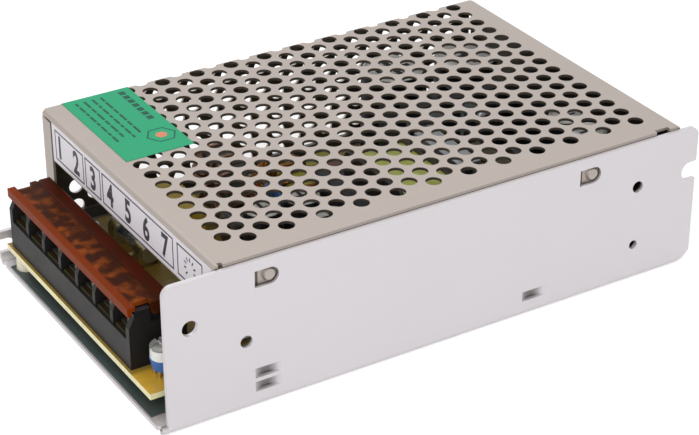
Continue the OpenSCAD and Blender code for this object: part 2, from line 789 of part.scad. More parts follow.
// Disc standing on two leads, its flat faces along X
module disc_part(p, d, t, lift, lead) {
    translate([p[0] - t / 2, p[1], board_top + lift + d / 2]) rotate([0, 90, 0]) {
        translate([0, 0, 0.6]) cylinder(d = d, h = t - 1.2);
        cylinder(d1 = d - 2, d2 = d, h = 0.6);
        translate([0, 0, t - 0.6]) cylinder(d1 = d, d2 = d - 2, h = 0.6);
    }
    for (s = [-1, 1]) translate([p[0], p[1] + s * lead / 2, board_top])
        cylinder(d = 0.8, h = lift + d / 2);
}

module inrush_thermistor() {
    color("#2f3b33") disc_part(thermistor_p, 9, 4, 3, 5);
}

module x_capacitor() {
    color("#d8b63a") block_at(x_cap_p, [9, 18, 11], board_top);
}

ring_lift = 1.4;
wire_gap = 0.04;

// Side outline of a ring core's rounded section, at a radius and width
module ring_section(r0, r1, w, round_r) {
    translate([r0, -w / 2]) pill2d(0, 0, r1 - r0, w, round_r);
}

// Ring core that stands upright with its axis along X
module ring_core(p, od, id, w) {
    translate([p[0], p[1], board_top + od / 2 + ring_lift]) rotate([0, 90, 0]) rotate_extrude()
        ring_section(id / 2, od / 2, w, 1);
}

// Close turns of wire round a ring core, over one or two arcs, with leads down to the board
module ring_winding(p, od, id, w, wire, turns, arcs, sweep, leads) {
    mid_r = (od + id) / 4;
    axis_h = od / 2 + ring_lift;
    for (l = leads) translate([p[0] + l[1] * (w / 2 + wire * 0.5), p[1] + mid_r * sin(l[0]), board_top])
        cylinder(d = wire, h = axis_h - mid_r * cos(l[0]));
    translate([p[0], p[1], board_top + axis_h]) rotate([0, 90, 0])
        for (start = arcs) rotate([0, 0, start]) {
        rotate([0, 0, -1]) rotate_extrude(angle = sweep + 2) difference() {
            ring_section(id / 2 - wire * 0.6, od / 2 + wire * 0.6, w + wire * 1.2, 1 + wire * 0.6);
            ring_section(id / 2 - wire_gap, od / 2 + wire_gap, w + 2 * wire_gap, 1);
        }
        for (k = [0 : turns - 1]) rotate([0, 0, (k + 0.5) * sweep / turns]) rotate([90, 0, 0])
            linear_extrude(wire * 0.62, center = true) difference() {
                ring_section(id / 2 - wire, od / 2 + wire, w + wire * 2, 1 + wire);
                ring_section(id / 2 - wire * 0.3, od / 2 + wire * 0.3, w + wire * 0.6, 1);
            }
    }
}

// Transformer, the output choke close in front of it, and the line filter choke beyond
core_p = on_board(0.569, 0.266);
choke_gap = 0.8;
output_choke_id = 12;
output_wire = 1.1;
output_choke_p = [core_p[0] - core_l / 2 - choke_gap - output_wire - choke_w / 2, on_board(0, 0.55)[1]];
filter_d = 18;
filter_id = 9;
filter_w = 8;
filter_wire = 1;
filter_p = [on_board(0.387, 0)[0],
            output_choke_p[1] + (choke_d + filter_d) / 2 + output_wire + filter_wire + choke_gap];
choke_front = output_choke_p[0] - choke_w / 2 - output_wire;
y_cap_p = [[choke_front - choke_gap - disc_t / 2, on_board(0, 0.473)[1]], on_board(0.305, 0.5)];
y_cap_lift = [13, 6];
snubber_lift = 7;
disc_lead = 5;

module y_capacitors() {
    color("#2f62b5") {
        for (k = [0, 1]) disc_part(y_cap_p[k], disc_d, disc_t, y_cap_lift[k], disc_lead);
        disc_part(snubber_p, disc_d, disc_t, snubber_lift, disc_lead);
    }
}

module filter_choke_core() {
    color("#4a4f4c") ring_core(filter_p, filter_d, filter_id, filter_w);
}

module filter_choke_winding() {
    color("#c07a55") ring_winding(filter_p, filter_d, filter_id, filter_w, filter_wire, 9, [15, 195], 150,
        [[20, 1], [20, -1], [-20, 1], [-20, -1]]);
}

// -------------------------------------------------------- mains side, rear
bulk_p = [on_board(0.7657, 0.852), on_board(0.9163, 0.81)];
bridge_p = on_board(0.97, 0.568);
sink_t = 2.4;
sink_l = 36;
fins = 6;
fin_l = 7;
sink_p = [on_board(0.799, 0)[0], bulk_p[1][1] - bulk_d / 2 - 0.8 - sink_t - fin_l];
transistor_x = [sink_p[0] - 9, sink_p[0] + 9];
coupling_p = on_board(0.592, 0.627);

// Electrolytic capacitor with a crimped foot and a scored top
module capacitor_can(p, d, h) {
    r = d / 2;
    translate([p[0], p[1], board_top]) difference() {
        rotate_extrude() polygon([[0, 0], [r - 0.7, 0], [r, 0.7], [r, 2.4], [r - 0.5, 3], [r, 3.6],
            [r, h - 1], [r - 0.3, h - 0.3], [r - 1, h], [r - 1.3, h - 0.35], [0, h - 0.35]]);
        translate([0, 0, h - 0.35]) cross_recess(d * 0.6, 0.2);
    }
}

module bulk_capacitors() {
    color("#1d1c20") for (p = bulk_p) capacitor_can(p, bulk_d, bulk_h);
}

// Flat bridge standing on four leads, along the rear edge of the board
module bridge_rectifier() {
    bridge_w = 22;
    bridge_t = 4;
    color("#1b1b1c") translate([bridge_p[0], bridge_p[1], board_top]) {
        translate([-bridge_t / 2, -bridge_w / 2, 4]) difference() {
            cube([bridge_t, bridge_w, 17]);
            translate([-1, bridge_w / 2, 12.5]) rotate([0, 90, 0]) cylinder(d = 3.4, h = bridge_t + 2);
        }
        for (k = [-1.5 : 1 : 1.5]) translate([-0.3, k * 5 - 0.5, 0]) cube([0.6, 1, 5]);
    }
}

lead_pitch = 2.54;
device_w = 10;
device_t = 4.3;
device_h = 9;
device_lift = 8;
tab_t = 1.3;
tab_h = 6;
tab_hole_d = 3.4;
device_hole = device_lift + device_h + tab_h / 2;

// Through-hole power device with a screw tab, facing -Y from its seat on y = 0
module power_device() {
    difference() {
        union() {
            translate([-device_w / 2, -tab_t, device_lift]) cube([device_w, tab_t, device_h + tab_h]);
            translate([-device_w / 2, -device_t, device_lift]) cube([device_w, device_t, device_h]);
        }
        translate([0, -device_t - 1, device_hole]) rotate([-90, 0, 0])
            cylinder(d = tab_hole_d, h = device_t + 2);
    }
    for (x = [-1, 0, 1] * lead_pitch) translate([x - 0.4, -2.9, 0]) cube([0.8, 0.5, device_lift + 1]);
}

module switch_heatsink() {
    color("#232325") translate([sink_p[0], sink_p[1], 0]) difference() {
        along_z(board_top, board_top + sink_h) {
            translate([-sink_l / 2, 0]) square([sink_l, sink_t]);
            for (k = [0 : fins - 1]) translate([-sink_l / 2 + k * (sink_l - 1.2) / (fins - 1), 0])
                square([1.2, sink_t + fin_l]);
        }
        for (x = transistor_x) translate([x - sink_p[0], -1, board_top + device_hole]) rotate([-90, 0, 0])
            cylinder(d = screw_d, h = sink_t + 2);
    }
}

pad_t = 0.3;
pad_w = device_w + 2;

module switch_transistors() {
    color("#1f1f20") for (x = transistor_x) translate([x, sink_p[1] - pad_t, board_top])
        power_device();
}

module switch_pads() {
    color("#9aa3a8") for (x = transistor_x) difference() {
        span([x - pad_w / 2, sink_p[1] - pad_t, board_top + device_lift - 1],
            [x + pad_w / 2, sink_p[1], board_top + device_lift + device_h + tab_h + 1.5]);
        translate([x, sink_p[1] - 2, board_top + device_hole]) rotate([-90, 0, 0])
            cylinder(d = tab_hole_d, h = 3);
    }
}

// Device screw on its seat, its shank running along +Y
module device_screw(l) {
    rotate([90, 0, 0]) pan_screw(5.4, 2, screw_d - run_gap, l);
}

module switch_screws() {
    color("#c4c7cb") for (x = transistor_x)
        translate([x, sink_p[1] - pad_t - tab_t, board_top + device_hole])
            device_screw(pad_t + tab_t + sink_t + 1);
}

module coupling_capacitor() {
    color("#b5542c") block_at(coupling_p, [18, 7, 14], board_top);
}

module bleeder_resistor() {
    color("#d9d4c6") block_at(on_board(0.585, 0.864), [20, 6, 6], board_top);
}

// ------------------------------------------------------------- transformers
core_z = board_top + 8.5 + core_d / 2;
yoke = 5.4;
leg_w = 5.4;
centre_w = 9;
coil_w = core_w - 2 * leg_w - 1.4;
coil_h = coil_w;
flange_t = 1.1;
coil_x = core_l / 2 - yoke - 0.2;

module transformer_core() {
    color("#35353a") translate([core_p[0], core_p[1], core_z - core_d / 2]) linear_extrude(core_d)
        difference() {
            translate([-core_l / 2, -core_w / 2]) square([core_l, core_w]);
            for (s = [-1, 1]) translate([-core_l / 2 + yoke, s > 0 ? centre_w / 2 : -core_w / 2 + leg_w])
                square([core_l - 2 * yoke, (core_w - centre_w) / 2 - leg_w]);
        }
}

// Rectangle with rounded corners, centred on the origin
module soft_rect(w, h, r) {
    translate([-w / 2, -h / 2]) pill2d(0, 0, w, h, r);
}

module transformer_bobbin() {
    rail_w = 3.2;
    color("#d9cfb2") {
        translate([core_p[0], core_p[1], core_z]) rotate([90, 0, 90]) difference() {
            union() {
                for (x = [-coil_x, coil_x - flange_t]) translate([0, 0, x]) linear_extrude(flange_t)
                    soft_rect(coil_w + 1, coil_h + 1, 2);
                translate([0, 0, -coil_x]) linear_extrude(2 * coil_x)
                    soft_rect(centre_w + 2.4, core_d + 2.4, 1);
            }
            translate([0, 0, -coil_x - 1]) linear_extrude(2 * coil_x + 2)
                soft_rect(centre_w + 0.2, core_d + 0.2, 0.1);
        }
        // foot rails under the flanges
        for (s = [-1, 1]) block_at([core_p[0] + s * (coil_x - rail_w / 2), core_p[1]],
            [rail_w, coil_w - 2, core_z - coil_h / 2 - board_top - 0.5], board_top);
    }
}

module transformer_winding() {
    color("#c8cf3a") translate([core_p[0] - coil_x + flange_t, core_p[1], core_z]) rotate([90, 0, 90])
        linear_extrude(2 * (coil_x - flange_t)) difference() {
            soft_rect(coil_w, coil_h, 4);
            soft_rect(centre_w + 2.5, core_d + 2.5, 1);
        }
}

driver_p = on_board(0.772, 0.308);
driver_w = 16;
driver_h = 20;
driver_core_w = 4.8;
driver_foot_h = 1.5;

module driver_core() {
    color("#4a4438") {
        block_at(driver_p, [driver_core_w, driver_w, driver_h], board_top + driver_foot_h);
        block_at(driver_p, [7, 12, driver_foot_h], board_top);
    }
}

module driver_winding() {
    coil_t = 3;
    end_gap = 2.5;
    color("#b0642c") for (m = [0, 1])
        translate([driver_p[0], driver_p[1], board_top + driver_foot_h + 0.1]) mirror([m, 0, 0])
            along_z(0, driver_h - 1.2) translate([driver_core_w / 2 + 0.1, -driver_w / 2 + end_gap])
                pill2d(0, 0, coil_t, driver_w - 2 * end_gap, 1.2);
}

// ------------------------------------------------------------- output side
rectifier_gap = 0.7;
rectifier_p = [core_p[0] + core_l / 2 + rectifier_gap + device_t, on_board(0, 0.32)[1]];
rectifier_w = 22;
rectifier_t = 2;
roof_l = 6.5;

module rectifier_heatsink() {
    color("#c5c8cc") difference() {
        along_y(rectifier_p[1] - rectifier_w / 2, rectifier_p[1] + rectifier_w / 2) {
            translate([rectifier_p[0], board_top]) square([rectifier_t, sink_h]);
            translate([rectifier_p[0] - roof_l + rectifier_t, board_top + sink_h - rectifier_t])
                square([roof_l, rectifier_t]);
        }
        translate([rectifier_p[0] - 1, rectifier_p[1], board_top + device_hole]) rotate([0, 90, 0])
            cylinder(d = screw_d, h = rectifier_t + 2);
    }
}

module output_rectifier() {
    color("#202022") translate([rectifier_p[0], rectifier_p[1], board_top]) rotate([0, 0, -90])
        power_device();
}

module rectifier_screw() {
    color("#c4c7cb") translate([rectifier_p[0] - tab_t, rectifier_p[1], board_top + device_hole])
        rotate([0, 0, -90]) device_screw(tab_t + rectifier_t + 0.5);
}

module output_choke_core() {
    color("#b8ad3c") ring_core(output_choke_p, choke_d, output_choke_id, choke_w);
}

module output_choke_winding() {
    color("#c9772e") ring_winding(output_choke_p, choke_d, output_choke_id, choke_w, output_wire,
        choke_turns, [30], 300, [[35, 1], [-35, -1]]);
}

output_cap_p = [on_board(0.307, 0.302), on_board(0.3855, 0.308), on_board(0.394, 0.156)];

module output_capacitors() {
    color("#3b3a3f") for (p = output_cap_p) capacitor_can(p, output_cap_d, output_cap_h);
}

aux_d = 10;
aux_h = output_cap_h + 3;
aux_p = on_board(0.9264, 0.2686);

module aux_capacitors() {
    color("#8f9299") for (y = [0, -aux_d - 0.4]) capacitor_can(aux_p + [0, y], aux_d, aux_h);
}

// ------------------------------------------------------------- small parts
chip_p = on_board(0.8126, 0.107);
chip_l = 19.4;
chip_w = 6.4;
chip_t = 3.4;
resistor_at = [on_board(0.852, 0.189), on_board(0.852, 0.233), on_board(0.852, 0.277),
               on_board(0.268, 0.071), on_board(0.375, 0.071)];
diode_at = [on_board(0.859, 0.3183), on_board(0.859, 0.455)];

module controller_chip() {
    color("#1e1e20") translate([chip_p[0], chip_p[1], board_top]) {
        translate([-chip_l / 2, -chip_w / 2, 0.6]) cube([chip_l, chip_w, chip_t]);
        for (k = [-3.5 : 1 : 3.5], s = [-1, 1])
            translate([k * lead_pitch - 0.6, s * (chip_w / 2 + 0.45) - 0.45, 0]) cube([1.2, 0.9, 2.4]);
    }
}

// Part with a lead at each end, lying along X
module axial_part(p, d, l, lead) {
    wire = 0.7;
    z = board_top + d / 2 + 0.3;
    translate([p[0] - l / 2, p[1], z]) rotate([0, 90, 0]) cylinder(d = d, h = l);
    for (s = [-1, 1]) {
        translate([p[0] + s * lead / 2, p[1], board_top]) cylinder(d = wire, h = d / 2 + 0.6);
        translate([p[0] + (s > 0 ? l / 2 - 0.5 : -lead / 2), p[1], z]) rotate([0, 90, 0])
            cylinder(d = wire, h = (lead - l) / 2 + 0.5);
    }
}

module resistors() {
    color("#a9b7c4") for (p = resistor_at) axial_part(p, 2.4, 6.5, 9);
}

module diodes() {
    color("#26262a") for (p = diode_at) axial_part(p, 3.2, 7.5, 11);
}

jumper_at = [on_board(0.201, 0.107), on_board(0.5, 0.75), on_board(0.772, 0.497)];

module jumper_wires() {
    color("#cfd1d4") for (p = jumper_at) axial_part(p, 0.7, 10, 11);
}

base_chassis();
mesh_cover();
cover_screws();
label_strip();
top_sticker();
insulating_sheet();
board_posts();
board_supports();
board_screws();
circuit_board();
terminal_block();
terminal_contacts();
terminal_washers();
terminal_screws();
terminal_flap();
trimmer_body();
trimmer_knob();
indicator_led();
fuse_glass();
fuse_caps();
fuse_clips();
inrush_thermistor();
x_capacitor();
y_capacitors();
filter_choke_core();
filter_choke_winding();
bridge_rectifier();
bulk_capacitors();
transformer_core();
transformer_bobbin();
transformer_winding();
switch_heatsink();
switch_transistors();
switch_pads();
switch_screws();
coupling_capacitor();
driver_core();
driver_winding();
rectifier_heatsink();
output_rectifier();
rectifier_screw();
output_choke_core();
output_choke_winding();
output_capacitors();
aux_capacitors();
controller_chip();
resistors();
diodes();
bleeder_resistor();
jumper_wires();
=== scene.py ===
"""Enclosed switching power supply: finishes, print and fine pieces around the solid model.

Every piece is in metres, in the solid model's own frame: X runs from the terminal end to the closed end,
Y from the solid side wall to the perforated one, and Z up from the surface the case stands on. The
sub-assemblies hold their sizes in millimetres, and the finishes and the studio hold places in metres.
"""

import json
import logging
import math
from dataclasses import dataclass
from enum import Enum

import bmesh
import bpy
from mathutils import Matrix, Vector


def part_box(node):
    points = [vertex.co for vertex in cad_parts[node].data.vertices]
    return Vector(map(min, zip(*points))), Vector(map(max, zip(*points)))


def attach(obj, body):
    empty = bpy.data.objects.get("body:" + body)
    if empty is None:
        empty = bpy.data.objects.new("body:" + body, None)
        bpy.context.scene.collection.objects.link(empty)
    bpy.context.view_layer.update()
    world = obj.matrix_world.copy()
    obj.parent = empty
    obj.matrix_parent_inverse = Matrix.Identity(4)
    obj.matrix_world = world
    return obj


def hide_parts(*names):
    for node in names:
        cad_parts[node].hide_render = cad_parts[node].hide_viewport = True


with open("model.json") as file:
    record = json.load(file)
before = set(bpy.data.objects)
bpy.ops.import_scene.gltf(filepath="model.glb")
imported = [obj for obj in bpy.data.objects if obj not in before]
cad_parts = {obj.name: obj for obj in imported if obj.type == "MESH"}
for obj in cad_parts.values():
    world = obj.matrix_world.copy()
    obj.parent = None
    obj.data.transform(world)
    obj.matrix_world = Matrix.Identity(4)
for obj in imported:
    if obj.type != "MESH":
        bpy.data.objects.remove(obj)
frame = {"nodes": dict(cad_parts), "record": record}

MM = 0.001
LOG = logging.getLogger("power_supply")

# Sockets of a Mix node that is set to colours
MIX_SHARE, MIX_FIRST, MIX_SECOND, MIX_RESULT = 0, 6, 7, 2
# Middle of the values that a surface texture puts out
EVEN = 0.5

Colour = tuple[float, float, float]
Triple = tuple[float, float, float]
Box = tuple[Vector, Vector]
Socket = bpy.types.NodeSocket
Piece = bpy.types.Object


def srgb(red: int, green: int, blue: int) -> Colour:
    """Converts a colour as it is seen on screen to the linear values that a shader takes.

    Args:
        red: Red from 0 to 255.
        green: Green from 0 to 255.
        blue: Blue from 0 to 255.

    Returns:
        The three linear values, each from 0 to 1.
    """

    def linear(value: int) -> float:
        """Linear value of one channel."""
        share = value / 255
        return share / 12.92 if share <= 0.04045 else ((share + 0.055) / 1.055) ** 2.4

    return linear(red), linear(green), linear(blue)


def rgba(colour: Colour) -> tuple[float, ...]:
    """The colour with full opacity, as a colour socket takes it."""
    return (*colour, 1.0)


# ---------------------------------------------------------------- node trees


class Graph:
    """Adds nodes to one node tree and joins them."""

    def __init__(self, tree: bpy.types.NodeTree) -> None:
        """Keeps the tree that the nodes go into.

        Args:
            tree: The tree of a material, a world or a node group.
        """
        self.tree = tree

    def node(self, kind: str, **settings: object) -> bpy.types.Node:
        """Adds a node.

        Args:
            kind: The node's type, such as ShaderNodeMath.
            settings: Attributes of the node and their values.

        Returns:
            The new node.
        """
        made = self.tree.nodes.new(kind)
        for name, value in settings.items():
            setattr(made, name, value)
        return made

    def join(self, source: Socket, target: Socket) -> None:
        """Links an output socket to an input socket."""
        self.tree.links.new(source, target)

    def feed(self, target: Socket, value: object) -> None:
        """Gives an input socket a link or a plain value.

        Args:
            target: The input socket.
            value: An output socket, or the value to set.
        """
        if isinstance(value, Socket):
            self.join(value, target)
        else:
            target.default_value = value

    def math(self, operation: str, *values: object) -> Socket:
        """Adds a Math node.

        Args:
            operation: The operation, such as MULTIPLY.
            values: A socket or a number for each input in turn.

        Returns:
            The node's output.
        """
        made = self.node("ShaderNodeMath", operation=operation)
        for target, value in zip(made.inputs, values):
            self.feed(target, value)
        return made.outputs[0]

    def blend(self, share: object, first: object, second: object, how: str = "MIX") -> Socket:
        """Mixes two colours.

        Args:
            share: How much of the second colour shows, a socket or a number.
            first: A socket or an RGBA value.
            second: A socket or an RGBA value.
            how: The way of mixing, such as MIX or MULTIPLY.

        Returns:
            The mixed colour.
        """
        made = self.node("ShaderNodeMix", data_type="RGBA", blend_type=how)
        self.feed(made.inputs[MIX_SHARE], share)
        self.feed(made.inputs[MIX_FIRST], first)
        self.feed(made.inputs[MIX_SECOND], second)
        return made.outputs[MIX_RESULT]

    def stretch(self, vector: Socket, scale: Triple) -> Socket:
        """Multiplies a coordinate by a scale for each axis.

        Args:
            vector: The coordinate.
            scale: The scales along X, Y and Z.

        Returns:
            The scaled coordinate.
        """
        made = self.node("ShaderNodeVectorMath", operation="MULTIPLY")
        self.join(vector, made.inputs[0])
        made.inputs[1].default_value = scale
        return made.outputs[0]

    def noise(self, vector: Socket, scale: float, detail: float = 2.0) -> Socket:
        """Adds a noise texture.

        Args:
            vector: The coordinate that it reads.
            scale: How close its marks lie.
            detail: How many finer layers it has.

        Returns:
            The noise's value.
        """
        made = self.node("ShaderNodeTexNoise")
        self.join(vector, made.inputs["Vector"])
        made.inputs["Scale"].default_value = scale
        made.inputs["Detail"].default_value = detail
        return made.outputs["Fac"]

    def ramp(self, value: Socket, low: float, high: float) -> Socket:
        """Adds a smooth change from 0 at one value to 1 at another.

        Args:
            value: The value that it follows.
            low: Where the share is 0.
            high: Where the share is 1.

        Returns:
            The share.
        """
        made = self.node("ShaderNodeMapRange", interpolation_type="SMOOTHSTEP")
        self.join(value, made.inputs["Value"])
        made.inputs["From Min"].default_value = low
        made.inputs["From Max"].default_value = high
        return made.outputs["Result"]

    def axis(self, vector: Socket, index: int) -> Socket:
        """Takes one coordinate of a vector.

        Args:
            vector: The vector.
            index: 0 for X, 1 for Y and 2 for Z.

        Returns:
            The coordinate.
        """
        made = self.node("ShaderNodeSeparateXYZ")
        self.join(vector, made.inputs[0])
        return made.outputs[index]

    def above(self, value: Socket, limit: float) -> Socket:
        """Mask that is 1 where a value is above a limit."""
        return self.math("GREATER_THAN", value, limit)

    def between(self, value: Socket, low: float, high: float) -> Socket:
        """Mask that is 1 where a value lies between two limits."""
        return self.math("MULTIPLY", self.above(value, low), self.math("LESS_THAN", value, high))


# ---------------------------------------------------------- surface textures


@dataclass(frozen=True)
class Layer:
    """One noise pattern of a surface texture, stretched where it has a direction."""

    scale: float
    detail: float = 2.0
    stretch: Triple | None = None

    def value(self, graph: Graph, vector: Socket) -> Socket:
        """Adds the pattern to a graph.

        Args:
            graph: Graph of the texture's node group.
            vector: The coordinate in metres.

        Returns:
            The pattern's value.
        """
        if self.stretch:
            vector = graph.stretch(vector, self.stretch)
        return graph.noise(vector, self.scale, self.detail)


@dataclass(frozen=True)
class TrackLayer(Layer):
    """Faint tracks that run along both edges of a board."""

    close: float = 900.0
    slow: float = 60.0
    along_limit: float = 0.58
    across_limit: float = 0.6

    def value(self, graph: Graph, vector: Socket) -> Socket:
        """Adds the tracks of both directions to a graph.

        Args:
            graph: Graph of the texture's node group.
            vector: The coordinate in metres.

        Returns:
            A mask that is 1 on a track.
        """
        masks = []
        for stretch, limit in (
            ((self.slow, self.close, self.slow), self.along_limit),
            ((self.close, self.slow, self.slow), self.across_limit),
        ):
            pattern = graph.noise(graph.stretch(vector, stretch), self.scale, self.detail)
            masks.append(graph.above(pattern, limit))
        return graph.math("MAXIMUM", *masks)


@dataclass(frozen=True)
class TurnLayer(Layer):
    """Edges of tape that is wound in overlapping turns along X."""

    distortion: float = 0.4

    def value(self, graph: Graph, vector: Socket) -> Socket:
        """Adds the turns to a graph.

        Args:
            graph: Graph of the texture's node group.
            vector: The coordinate in metres.

        Returns:
            A value that climbs over each turn.
        """
        waves = graph.node("ShaderNodeTexWave", wave_type="BANDS", bands_direction="X", wave_profile="SAW")
        graph.join(vector, waves.inputs["Vector"])
        waves.inputs["Scale"].default_value = self.scale
        waves.inputs["Distortion"].default_value = self.distortion
        return waves.outputs["Fac"]


@dataclass(frozen=True)
class Recipe:
    """Patterns of a texture, with the weight of each in its shade, its gloss and its height."""

    layers: tuple[Layer, ...]
    shade: tuple[float, ...]
    gloss: tuple[float, ...]
    height: tuple[float, ...]


class Grain(Enum):
    """Surface texture of a finish."""

    ROLLED = "rolled_sheet_grain"
    MOULDED = "moulded_plastic_grain"
    PRINTED = "printed_film_grain"
    FERRITE = "pressed_powder_grain"
    LAMINATE = "board_laminate_grain"
    TAPED = "wound_tape_grain"
    DRAWN = "drawn_wire_grain"


RECIPES: dict[Grain, Recipe] = {
    # Fine lines along X, soft clouds and small marks
    Grain.ROLLED: Recipe(
        (Layer(1, 2, (30, 3000, 3000)), Layer(28, 3), Layer(1500, 3)),
        shade=(0.3, 0.5, 0.2), gloss=(0, 0.6, 0.4), height=(0.7, 0, 0.3),
    ),
    # A fine pebble with faint flow clouds
    Grain.MOULDED: Recipe((Layer(2600), Layer(90)), shade=(0.3, 0.7), gloss=(0, 1), height=(1, 0)),
    # Nearly even, with faint fibres and slow waves from the sheet under it
    Grain.PRINTED: Recipe(
        (Layer(1, 2, (900, 900, 1800)), Layer(120, 1)), shade=(0.4, 0.6), gloss=(0, 1), height=(0, 1)
    ),
    # Speckled, with pale dust in places
    Grain.FERRITE: Recipe((Layer(3500, 3), Layer(220, 3)), shade=(0.5, 0.5), gloss=(0, 1), height=(1, 0)),
    # Tracks under a mottled resin
    Grain.LAMINATE: Recipe((Layer(260, 3), TrackLayer(1, 1)), shade=(0.7, 0.3), gloss=(1, 0), height=(0, 1)),
    # Overlapping turns with small folds
    Grain.TAPED: Recipe((TurnLayer(75), Layer(420)), shade=(0.35, 0.65), gloss=(0, 1), height=(1, 0)),
    # Small bright and dull patches
    Grain.DRAWN: Recipe((Layer(700), Layer(4200, 1)), shade=(0.7, 0.3), gloss=(1, 0), height=(0, 1)),
}


class GrainBook:
    """Node groups for the surface textures, each made once.

    Every group takes a coordinate in metres and puts out Shade and Gloss, both about even, and Height.
    """

    def __init__(self) -> None:
        """Starts with no group made."""
        self.made: dict[Grain, bpy.types.NodeTree] = {}

    def group(self, grain: Grain) -> bpy.types.NodeTree:
        """Finds or makes the group of a texture.

        Args:
            grain: The texture that is wanted.

        Returns:
            The node group.
        """
        if grain not in self.made:
            self.made[grain] = self._build(grain)
        return self.made[grain]

    def _build(self, grain: Grain) -> bpy.types.NodeTree:
        """Makes the node group of one texture.

        Args:
            grain: The texture.

        Returns:
            The new group.
        """
        recipe = RECIPES[grain]
        tree = bpy.data.node_groups.new(grain.value, "ShaderNodeTree")
        tree.interface.new_socket("Vector", in_out="INPUT", socket_type="NodeSocketVector")
        weights = {"Shade": recipe.shade, "Gloss": recipe.gloss, "Height": recipe.height}
        for name in weights:
            tree.interface.new_socket(name, in_out="OUTPUT", socket_type="NodeSocketFloat")
        graph = Graph(tree)
        vector = graph.node("NodeGroupInput").outputs["Vector"]
        out = graph.node("NodeGroupOutput").inputs
        values = [layer.value(graph, vector) for layer in recipe.layers]
        for name, shares in weights.items():
            graph.join(self._sum(graph, values, shares), out[name])
        return tree

    @staticmethod
    def _sum(graph: Graph, values: list[Socket], shares: tuple[float, ...]) -> Socket:
        """Adds up values by their weights.

        Args:
            graph: Graph of the node group.
            values: The patterns' values.
            shares: A weight for each, where 0 leaves it out.

        Returns:
            The weighted sum.
        """
        total: object = 0.0
        for value, share in zip(values, shares):
            if share:
                total = graph.math("ADD", total, graph.math("MULTIPLY", value, share))
        return total


# ------------------------------------------------------------------ finishes


@dataclass(frozen=True)
class Finish:
    """One surface finish: a colour that a grain varies, with its gloss and its relief in millimetres."""

    name: str
    colour: Colour
    roughness: float = 0.5
    metallic: float = 0.0
    grain: Grain = Grain.MOULDED
    contrast: float = 0.25
    gloss_swing: float = 0.2
    relief: float = 0.02
    coat: float = 0.0
    transmission: float = 0.0
    ior: float = 1.5

    def colour_socket(self, graph: Graph, vector: Socket) -> object:
        """Gives the colour before the grain varies it.

        Args:
            graph: The material's graph, not used here.
            vector: The coordinate in metres, not used here.

        Returns:
            An RGBA value, or a socket where the colour changes over the surface.
        """
        return rgba(self.colour)

    def metallic_socket(self, graph: Graph, vector: Socket) -> object:
        """Gives the metallic share.

        Args:
            graph: The material's graph, not used here.
            vector: The coordinate in metres, not used here.

        Returns:
            A number, or a socket where the share changes over the surface.
        """
        return self.metallic


@dataclass(frozen=True)
class TwoToneFinish(Finish):
    """Finish that changes to a second colour above a height, as a sleeved can with a bare top does."""

    upper: Colour = (0.5, 0.5, 0.5)
    upper_metallic: float = 0.0
    height: float = 0.0

    def colour_socket(self, graph: Graph, vector: Socket) -> object:
        """Gives the lower colour below the height and the upper colour above it.

        Args:
            graph: The material's graph.
            vector: The coordinate in metres.

        Returns:
            The colour's socket.
        """
        mask = graph.above(graph.axis(vector, 2), self.height)
        return graph.blend(mask, rgba(self.colour), rgba(self.upper))

    def metallic_socket(self, graph: Graph, vector: Socket) -> object:
        """Gives a metallic share that changes at the same height.

        Args:
            graph: The material's graph.
            vector: The coordinate in metres.

        Returns:
            The share's socket.
        """
        mask = graph.above(graph.axis(vector, 2), self.height)
        extra = graph.math("MULTIPLY", mask, self.upper_metallic - self.metallic)
        return graph.math("ADD", extra, self.metallic)


@dataclass(frozen=True)
class BandedFinish(Finish):
    """Finish that has a second colour within spans along X."""

    band: Colour = (0.5, 0.5, 0.5)
    spans: tuple[tuple[float, float], ...] = ()

    def colour_socket(self, graph: Graph, vector: Socket) -> object:
        """Gives the body colour, and the band's colour within the spans.

        Args:
            graph: The material's graph.
            vector: The coordinate in metres.

        Returns:
            The colour's socket.
        """
        x = graph.axis(vector, 0)
        mask: object = 0.0
        for low, high in self.spans:
            mask = graph.math("MAXIMUM", mask, graph.between(x, low, high))
        return graph.blend(mask, rgba(self.colour), rgba(self.band))


@dataclass(frozen=True)
class EdgedFinish(Finish):
    """Finish of a board with pale cut edges, whose face has painted shade past a place along X or Y."""

    edge: Colour = (0.5, 0.5, 0.5)
    # Painted shade: the darker face colour, and where it starts along X and Y
    shaded_face: Colour = (0.5, 0.5, 0.5)
    shade_from: float = 0.0
    shade_beside: float = 0.0
    fade_from: float = 6 * MM
    fade_beside: float = 2 * MM
    flattest: float = 0.5

    def colour_socket(self, graph: Graph, vector: Socket) -> object:
        """Gives the face's colours with their painted shade, and the edge's colour where the surface stands
        upright.

        Args:
            graph: The material's graph.
            vector: The coordinate in metres.

        Returns:
            The colour's socket.
        """
        # Painted shade that grows past the given places along X and along Y
        deep = graph.ramp(graph.axis(vector, 0), self.shade_from, self.shade_from + self.fade_from)
        beside = graph.ramp(graph.axis(vector, 1), self.shade_beside, self.shade_beside + self.fade_beside)
        face = graph.blend(graph.math("MAXIMUM", deep, beside), rgba(self.colour), rgba(self.shaded_face))
        normal = graph.node("ShaderNodeNewGeometry").outputs["True Normal"]
        level = graph.math("ABSOLUTE", graph.axis(normal, 2))
        return graph.blend(graph.math("LESS_THAN", level, self.flattest), face, rgba(self.edge))


